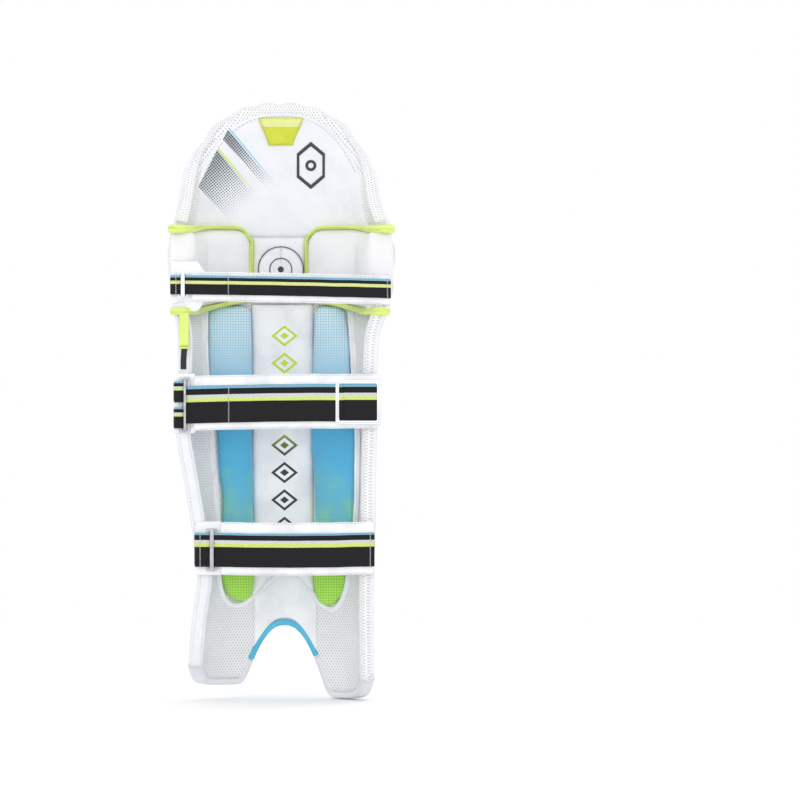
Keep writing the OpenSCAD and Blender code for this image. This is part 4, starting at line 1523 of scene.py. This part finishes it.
class Strap:
    """Sizes of one strap, taken from its CAD nodes. Lengths in millimetres."""

    def __init__(self, name, tilt, bow):
        self.name = name
        self.body = name + "_strap_arm"
        ring_lo, ring_hi = (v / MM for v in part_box(name + "_ring"))
        web_lo, web_hi = (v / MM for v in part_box(name + "_webbing"))
        back_lo, back_hi = (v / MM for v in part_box(name + "_strap"))
        anchor_lo, _ = (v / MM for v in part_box(name + "_anchor"))
        self.bar_r = (ring_hi.y - ring_lo.y) / 2
        self.y = (ring_hi.y + ring_lo.y) / 2
        self.anchor_bar = ring_lo.x + self.bar_r
        self.bar = ring_hi.x - self.bar_r
        self.end = back_hi.x
        self.web = (web_lo.z, web_hi.z)
        self.back = (back_lo.z, back_hi.z)
        self.anchor_end = anchor_lo.x
        self.tilt, self.bow = tilt, bow

    def rise(self, x):
        """How far the strap drifts up or down along its length."""
        f = clamp((x - self.bar) / (self.end - self.bar))
        return self.tilt * f + self.bow * math.sin(math.pi * f)

    def web_width(self):
        return (self.web[1] - self.web[0]) * MM


def strap_edges(strap, zone, wobble=0.35):
    """Edge functions of a ribbon that drifts with the strap, given its two heights at the bar."""
    low, high = zone

    def at(z, seed):
        return lambda p: z + strap.rise(p.x) + wobble * noise.noise(Vector((p.x / 24, seed, 1)))
    return at(low, 1.0), at(high, 5.0)


def bar_loop(x, y, r, side, n=12):
    """Half a turn round a bar, from the front (-Y) past the side away from the strap to the back."""
    return [Vector((x - side * r * math.sin(math.pi * k / n), y - r * math.cos(math.pi * k / n), 0))
            for k in range(n + 1)]


def zigzag(points, wide, pitch, across):
    """A zig-zag path along a line."""
    line = resample(points, pitch / 2)
    return [p + Vector(across) * (wide if i % 2 else -wide) for i, p in enumerate(line)]


def thread_line(name, paths, body, slot, key="thread", r=0.36):
    parts = [tube(name, path, r, 6) for path in paths]
    obj = join_parts(name, parts)
    place(paint(obj, key), body, slot)
    return obj


def strap_webbing(strap, key, fold_x, end_x):
    """Striped webbing: along the front of the strap, round the ring bar and back to the fold."""
    t = 1.8
    front = strap.y - 1.2 - t / 2 - 0.9
    loop_r = strap.bar_r + 0.15 + t / 2
    path = [Vector((x, front, 0)) for x in steps(end_x, strap.bar + 12, 3)]
    path += [Vector((strap.bar + 6, mix(front, strap.y - loop_r, 0.6), 0))]
    path += bar_loop(strap.bar, strap.y, loop_r, 1)
    path += [Vector((strap.bar + 6, mix(strap.y + 2.2, strap.y + loop_r, 0.6), 0))]
    path += [Vector((x, strap.y + 2.2, 0)) for x in steps(strap.bar + 12, fold_x, 3)]
    low, high = strap_edges(strap, strap.web)
    obj = ribbon(strap.name + "_striped_webbing", path, (0, 0, 1), low, high, t, step=1.5)
    place(paint(obj, key), strap.body, "webbing", strap.name + "_webbing")
    return front - t / 2


def strap_backing(strap, start):
    """White PU backing, seen as a margin above and below the webbing."""
    t = 2.2
    path = [Vector((x, strap.y - 0.2, 0)) for x in steps(start, strap.end, 3)]
    low, high = strap_edges(strap, strap.back, 0.5)
    nose = 7.0

    def eased(edge, sign):
        # rounded corners at the free end and a short taper at the ring
        return lambda p: (edge(p) - sign * rim(strap.end - p.x, nose) * 0.8
                          - sign * rim(p.x - start, 5) * 0.5)
    obj = ribbon(strap.name + "_backing", path, (0, 0, 1), eased(low, -1), eased(high, 1), t,
                 step=1.5, rows=20)
    place(paint(obj, "strap_pu"), strap.body, "strap_pu", strap.name + "_strap")
    runs = []
    for edge, shift in ((low, 1.6), (high, -1.6)):
        line = [Vector((x, strap.y - 1.5, edge(Vector((x, 0, 0))) + shift))
                for x in steps(start + 6, strap.end - 8, 4)]
        runs.append((line, lambda p: Vector((0, -1, 0))))
    threads(strap.name + "_edge_stitches", runs, "grey_thread", body=strap.body, slot="strap_pu",
            length=2.6, space=1.6, r=0.3)


def strap_seams(strap, xs, face):
    """Zig-zag seams across the webbing."""
    low, high = strap_edges(strap, strap.web)
    paths = []
    for x in xs:
        p = Vector((x, 0, 0))
        line = [Vector((x, face - 0.15, low(p) + 0.6)), Vector((x, face - 0.15, high(p) - 0.6))]
        paths.append(zigzag(line, 0.55, 3.0, (1, 0, 0)))
    thread_line(strap.name + "_zigzag", paths, strap.body, "webbing")


def anchor_loop(name, strap, zone, key, node=None, seam=True):
    """Webbing sewn to the wing edge that holds the ring."""
    t = 1.7
    loop_r = strap.bar_r + 0.15 + t / 2
    front = strap.y - loop_r
    left = strap.anchor_end
    base = smooth(EDGE_Y, sum(zone) / 2)
    path = [Vector((left - 0.5, base - 1.5, 0)), Vector((left - 1.0, base - 4, 0)),
            Vector((left + 0.2, front + 1.2, 0))]
    path += [Vector((x, front, 0)) for x in steps(left + 3, strap.anchor_bar - 0.5, 1.5)]
    path += bar_loop(strap.anchor_bar, strap.y, loop_r, -1)
    back = min(strap.y + loop_r, base - 2)
    path += [Vector((x, back, 0)) for x in steps(strap.anchor_bar - 2, left + 2.5, 1.5)]
    low, high = zone
    obj = ribbon(name, path, (0, 0, 1), lambda p: low, lambda p: high, t, step=1.0, rows=12)
    place(paint(obj, key), "pad", "webbing", *([node] if node else []))
    if seam:
        x = left + 5
        line = [Vector((x, front - t / 2 - 0.1, low + 0.8)), Vector((x, front - t / 2 - 0.1, high - 0.8))]
        thread_line(name + "_zigzag", [zigzag(line, 0.5, 3.0, (1, 0, 0))], "pad", "webbing")
    return obj


def edge_piping():
    """Thin PU cord along the outer corner of the inner wing."""
    heights = steps(sole(89.9) + 4, -58, 4)
    path = [arch(90, z, 1.2) + Vector((0, -2.4, 0)) for z in heights]
    cord = tape("inner_edge_cord", path, lambda i: Vector((1, 0, 0)), lambda f: 2.6, lambda f: 1.9,
                sides=14, power=0.8)
    place(paint(cord, "pu"), "pad", "pu_white")


def fastening(strap):
    """Hook patch behind the free end and loop patch on the wing."""
    for kind, body in (("hook", strap.body), ("loop", "pad")):
        node = f"{strap.name}_{kind}_patch"
        low, high = (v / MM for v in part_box(node))

        def side(y):
            return lambda u, s: Vector((mix(low.x, high.x, u), y, mix(low.z, high.z, s)))

        def fuzzy(y, sign):
            def point(u, s):
                edge = (1 - abs(2 * u - 1) ** 10) * (1 - abs(2 * s - 1) ** 14)
                p = Vector((mix(low.x, high.x, u), y, mix(low.z, high.z, s)))
                p.y += sign * (0.6 * edge - 0.6) + 0.15 * noise.noise(p * 1.3)
                return p
            return point
        if kind == "hook":
            obj = slab(node + "_pile", 14, 40, fuzzy(high.y, 1), side(low.y))
        else:
            obj = slab(node + "_pile", 14, 40, side(high.y + 1.0), fuzzy(low.y, -1))
        place(paint(wrap_uv(obj), kind), body, "hook_loop", node)


def framed_patch(strap, key):
    """White frame with the stripes showing inside it, at the free end of the calf strap."""
    low, high = (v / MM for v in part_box("calf_end_patch"))
    tilt = strap.tilt
    rings = ((0, 0.0), (0, 1.2), (0.7, 1.7), (3.4, 1.7), (4.2, 1.1), (4.2, 0.2))

    def corners(inset, lift, n=14):
        pts = []
        r = 3.0 if inset < 2 else 1.6
        x0, x1, z0, z1 = low.x + inset, high.x - inset, low.z + inset + tilt, high.z - inset + tilt
        for cx, cz, start in ((x1 - r, z1 - r, 0), (x0 + r, z1 - r, 90),
                              (x0 + r, z0 + r, 180), (x1 - r, z0 + r, 270)):
            for k in range(n // 2):
                t = math.radians(start + 90 * k / (n // 2 - 1))
                pts.append(Vector((cx + r * math.cos(t), high.y - lift, cz + r * math.sin(t))))
        return pts

    loops = [corners(*ring) for ring in rings]
    n = len(loops[0])
    verts = [p for loop in loops for p in loop]
    faces = []
    for k in range(len(loops)):
        m = (k + 1) % len(loops)
        for i in range(n):
            j = (i + 1) % n
            faces.append((k * n + i, k * n + j, m * n + j, m * n + i))
    frame_obj = wrap_uv(finish_mesh("end_patch_frame", verts, faces))
    place(paint(frame_obj, "strap_pu"), strap.body, "strap_pu", "calf_end_patch")
    path = [Vector((x, high.y - 0.2, 0)) for x in steps(low.x + 3, high.x - 3, 3)]
    z0, z1 = low.z + 3.6 + tilt, high.z - 3.6 + tilt
    field = ribbon("end_patch_field", path, (0, 0, 1), lambda p: z0, lambda p: z1, 0.9, step=1.5)
    place(paint(field, key), strap.body, "webbing")
    seam = [Vector((x, high.y - 1.75, z)) for x, z in
            ((low.x + 2, low.z + 2 + tilt), (high.x - 2, low.z + 2 + tilt), (high.x - 2, high.z - 2 + tilt),
             (low.x + 2, high.z - 2 + tilt), (low.x + 2, low.z + 2 + tilt))]
    threads("end_patch_stitches", [(seam, lambda p: Vector((0, -1, 0)))], "grey_thread", body=strap.body,
            slot="strap_pu", length=2.2, space=1.3, r=0.28)


def ring_band(strap, key, wide):
    """The flat front bar of a ring, between the two webbing loops."""
    low, high = (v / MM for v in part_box(strap.name + "_ring"))
    x = (strap.anchor_bar + strap.bar) / 2
    y = strap.y - strap.bar_r - 3.5
    z0, z1 = low.z + strap.bar_r, high.z - strap.bar_r
    path = [Vector((x, strap.y - 0.8, z0)), Vector((x, y + 1.6, z0 + 0.2)), Vector((x, y, z0 + 2.0))]
    path += [Vector((x, y, z)) for z in steps(z0 + 4, z1 - 4, 4)]
    path += [Vector((x, y, z1 - 2.0)), Vector((x, y + 1.6, z1 - 0.2)), Vector((x, strap.y - 0.8, z1))]
    bar = tape(strap.name + "_ring_bar", path, lambda i: Vector((1, 0, 0)), lambda f: wide / 2, lambda f: 1.1,
               sides=20, power=0.75)
    place(paint(wrap_uv(bar), key), strap.name + "_ring_link", "ring_plastic")


def wing_tab(name, strap, width, drop, key="strap_pu"):
    """PU tab under an anchor, sewn down on the cushion at the wing edge."""
    x0 = strap.anchor_end - 1.0
    z_mid = (strap.back[0] + strap.back[1]) / 2
    half = (strap.back[1] - strap.back[0]) / 2 + drop

    def layer(lift):
        def point(u, s):
            x = mix(x0, x0 + width, u)
            taper = 1 - 0.45 * ease((u - 0.7) / 0.3)
            z = z_mid + mix(-half, half, s) * taper
            y = strap.y + 3.4 - 1.6 * u * (1 - abs(2 * s - 1)) + 1.2 * abs(2 * s - 1) ** 2
            return Vector((x, y - lift * (1 - 0.5 * abs(2 * s - 1) ** 10), z))
        return point
    obj = wrap_uv(slab(name, 30, 30, layer(0.0), layer(1.8)))
    place(paint(obj, key), "pad", "strap_pu")


def pull_tab():
    """Lime sleeve with a black webbing end, at the outer edge below the knee."""
    low, high = (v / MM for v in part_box("pull_tab_sleeve"))
    web_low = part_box("pull_tab_webbing")[0].z / MM
    x, y = (low.x + high.x) / 2, (low.y + high.y) / 2
    top, join = high.z - 1.9, low.z
    half = (high.x - low.x) / 2
    path = [Vector((x, y - 1.3, z)) for z in steps(join, top, 3)]
    turn = [math.pi * k / 8 for k in range(1, 8)]
    path += [Vector((x, y - 1.3 * math.cos(w), top + 1.3 * math.sin(w))) for w in turn]
    path += [Vector((x, y + 1.3, z)) for z in steps(top, join, 3)]
    sleeve = ribbon("pull_tab_lime", path, (1, 0, 0), lambda p: -half, lambda p: half, 1.3, step=1.2, rows=8)
    place(paint(sleeve, "lime"), "pull_tab", "lime_fabric", "pull_tab_sleeve")
    path = [Vector((x + 0.8 * math.sin(z / 9), y - 0.4 * math.sin((z - join) / 8), z))
            for z in steps(join + 10, web_low, 2)]
    web = ribbon("pull_tab_black", path, (1, 0, 0), lambda p: -half + 2.2, lambda p: half - 2.2, 1.5,
                 step=1.2, rows=8)
    place(paint(web, "black_web"), "pull_tab", "webbing", "pull_tab_webbing")
    line = [Vector((x - half + 1, y - 2.05, join + 3)), Vector((x + half - 1, y - 2.05, join + 3))]
    thread_line("pull_tab_bartack", [zigzag(line, 1.1, 1.2, (0, 0, 1))], "pull_tab",
                "lime_fabric", "lime_thread")


def straps():
    knee = Strap("knee", tilt=-4.5, bow=0.5)
    calf = Strap("calf", tilt=2.5, bow=1.0)
    ankle = Strap("ankle", tilt=0.5, bow=-1.2)
    for strap, bands, fold, seams in (
            (knee, KNEE_BANDS, 50, [knee.bar + 48, knee.end - 5]),
            (calf, CALF_BANDS, 50, [calf.bar + 46]),
            (ankle, ANKLE_BANDS, 44, [ankle.end - 6])):
        key = webbing(strap.name + "_webbing", bands, strap.web_width())
        end = strap.end - (44 if strap is calf else 1.0)
        face = strap_webbing(strap, key, strap.bar + fold, end)
        strap_backing(strap, strap.bar + 5.5)
        strap_seams(strap, seams, face)
        fastening(strap)
        MAT[strap.name] = key
    web = knee.web[0], knee.web[1]
    anchor_loop("knee_anchor_loop", knee, web, "knee", "knee_anchor")
    anchor_loop("ankle_anchor_loop", ankle, ankle.web, "ankle", "ankle_anchor")
    anchor_lo, anchor_hi = (v.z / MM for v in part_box("calf_anchor"))
    fold = (anchor_hi - anchor_lo - 6) / 2
    fold_key = webbing("calf_fold_webbing", CALF_BANDS, fold * MM)
    anchor_loop("calf_anchor_upper", calf, (anchor_hi - fold, anchor_hi), fold_key, "calf_anchor", seam=False)
    anchor_loop("calf_anchor_lower", calf, (anchor_lo, anchor_lo + fold), fold_key, seam=False)
    framed_patch(calf, "calf")
    wing_tab("knee_anchor_tab", knee, 42, 12)
    wing_tab("calf_anchor_tab", calf, 32, 3)
    wing_tab("ankle_anchor_tab", ankle, 42, 0.5)
    ring_band(knee, "ring_white", 4.6)
    ring_band(calf, "ring", 2.6)
    ring_band(ankle, "ring", 4.4)


def rings():
    for name in ("knee", "calf", "ankle"):
        paint(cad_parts[name + "_ring"], "ring_white" if name == "knee" else "ring")


def hidden_cores():
    """Foam and cane inside the covers keep their CAD shapes."""
    for node in ("shin_inserts", "instep_foam", "outer_wing_foam", "inner_wing_foam", "knee_base_foam",
                 "knee_roll_cores", "top_hat_inserts"):
        paint(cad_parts[node], "foam")


# ---------------------------------------------------------------- the pad

shin_face()
wing("outer_wing_facing", -1, SHIN_SEAMS[0], "outer_wing_cover")
wing("inner_wing_facing", 1, SHIN_SEAMS[-1], "inner_wing_cover")
instep_panel()
knee_roll("upper_roll", roll_seam_1, hat_seam, "knee_roll_upper", 1.0)
knee_roll("middle_roll", roll_seam_2, roll_seam_1, "knee_roll_middle", 2.0)
knee_roll("lower_roll", knee_seam, roll_seam_2, "knee_roll_lower", 3.0)
knee_wing()
top_hat_face()

shin_lining()
knee_lining()
top_hat_border()
top_hat_panel()
top_tag()
hat_mark()
instep_mark()
knee_cup()
knee_badge()
knee_cushion("outer_knee_cushion", -1, -38.0, "outer_knee_bolster", "outer_knee_binding")
knee_cushion("inner_knee_cushion", 1, 33.0, "inner_knee_bolster", "inner_knee_binding")
centre_cushion()
shin_cushion("outer_shin_cushion", OUTER_LEFT, OUTER_RIGHT, "outer_shin_bolster", -405, 14)
shin_cushion("inner_shin_cushion", INNER_LEFT, INNER_RIGHT, "inner_shin_bolster", -410, 18)
w_piping()
instep_lining_panel()

NOTCH_LEFT, NOTCH_RIGHT = angle(-0.4), angle(0.47)
sole_tape("instep_tape", NOTCH_LEFT, NOTCH_RIGHT, "blue_pu", "blue_pu", "instep_piping", 4.2, lap=3.2)
sole_tape("outer_foot_tape", -90, NOTCH_LEFT - 0.3, "pu", "pu_white", "outer_foot_binding", 4.6)
sole_tape("inner_foot_tape", NOTCH_RIGHT + 0.3, 90, "pu", "pu_white", "inner_foot_binding", 4.6)
edge_tape("outer_edge_tape", -1, "pu", "pu_white", "outer_edge_binding")
edge_tape("inner_edge_tape", 1, "mesh", "mesh_white", "inner_edge_binding")
edge_piping()

straps()
rings()
pull_tab()
hidden_cores()

# ---------------------------------------------------------------- stage

low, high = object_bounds()


def floor():
    """Round pale floor just under the feet."""
    z = (low.z - 0.001) / MM
    n = 96
    verts = [(0, 0, z)] + [(1900 * math.cos(2 * math.pi * k / n), 1900 * math.sin(2 * math.pi * k / n), z)
                           for k in range(n)]
    faces = [(0, 1 + k, 1 + (k + 1) % n) for k in range(n)]
    obj = finish_mesh("floor", verts, faces)
    s = Shade("floor_paper")
    tone = s.ramp(s.noise(s.place(), 1.5, 2.0), 0.3, 0.7)
    s.finish(s.blend(tone, rgb("fbfbfb"), rgb("f9f9fa")), 0.9, s.noise(s.place(), 900, 2.0), 0.00005)
    obj.data.materials.append(s.mat)


def area_light(name, place, target, size, power):
    data = bpy.data.lights.new(name, "AREA")
    data.shape = "RECTANGLE"
    data.size, data.size_y = size
    data.energy = power
    obj = bpy.data.objects.new(name, data)
    bpy.context.scene.collection.objects.link(obj)
    obj.location = place
    obj.rotation_euler = (Vector(target) - Vector(place)).to_track_quat("-Z", "Y").to_euler()
    return obj


def lights():
    middle = (low + high) / 2
    area_light("key", (-1.5, -1.9, 1.5), middle, (0.9, 0.9), 6)
    area_light("front", (0.2, -3.2, 0.3), middle, (1.6, 1.6), 16)
    area_light("top", (0.1, -0.2, 2.4), middle, (2.2, 1.6), 5)
    area_light("face_side", (1.9, 1.5, 1.0), middle, (0.7, 0.7), 7)
    world = bpy.data.worlds.new("studio")
    bpy.context.scene.world = world
    world.use_nodes = True
    shade = world.node_tree.nodes["Background"]
    shade.inputs["Color"].default_value = (1.0, 1.0, 1.0, 1.0)
    shade.inputs["Strength"].default_value = 1.0


def camera():
    """Straight at the leg side from far away, with the pad left of the middle as in the photo."""
    data = bpy.data.cameras.new("camera")
    obj = bpy.data.objects.new("camera", data)
    bpy.context.scene.collection.objects.link(obj)
    bpy.context.scene.camera = obj
    distance, frame_width = 5.2, 0.928
    data.sensor_width = 36
    data.lens = 36 * distance / frame_width
    data.shift_x = 0.149
    obj.location = (0.0, -distance, (low.z + high.z) / 2)
    obj.rotation_euler = (math.radians(90), 0, 0)
    data.clip_end = 40


floor()
lights()
camera()
bpy.context.scene.view_settings.view_transform = "Standard"

{"cad": [list(v) for v in CAD_BOX], "built": [list(v) for v in (low, high)]}
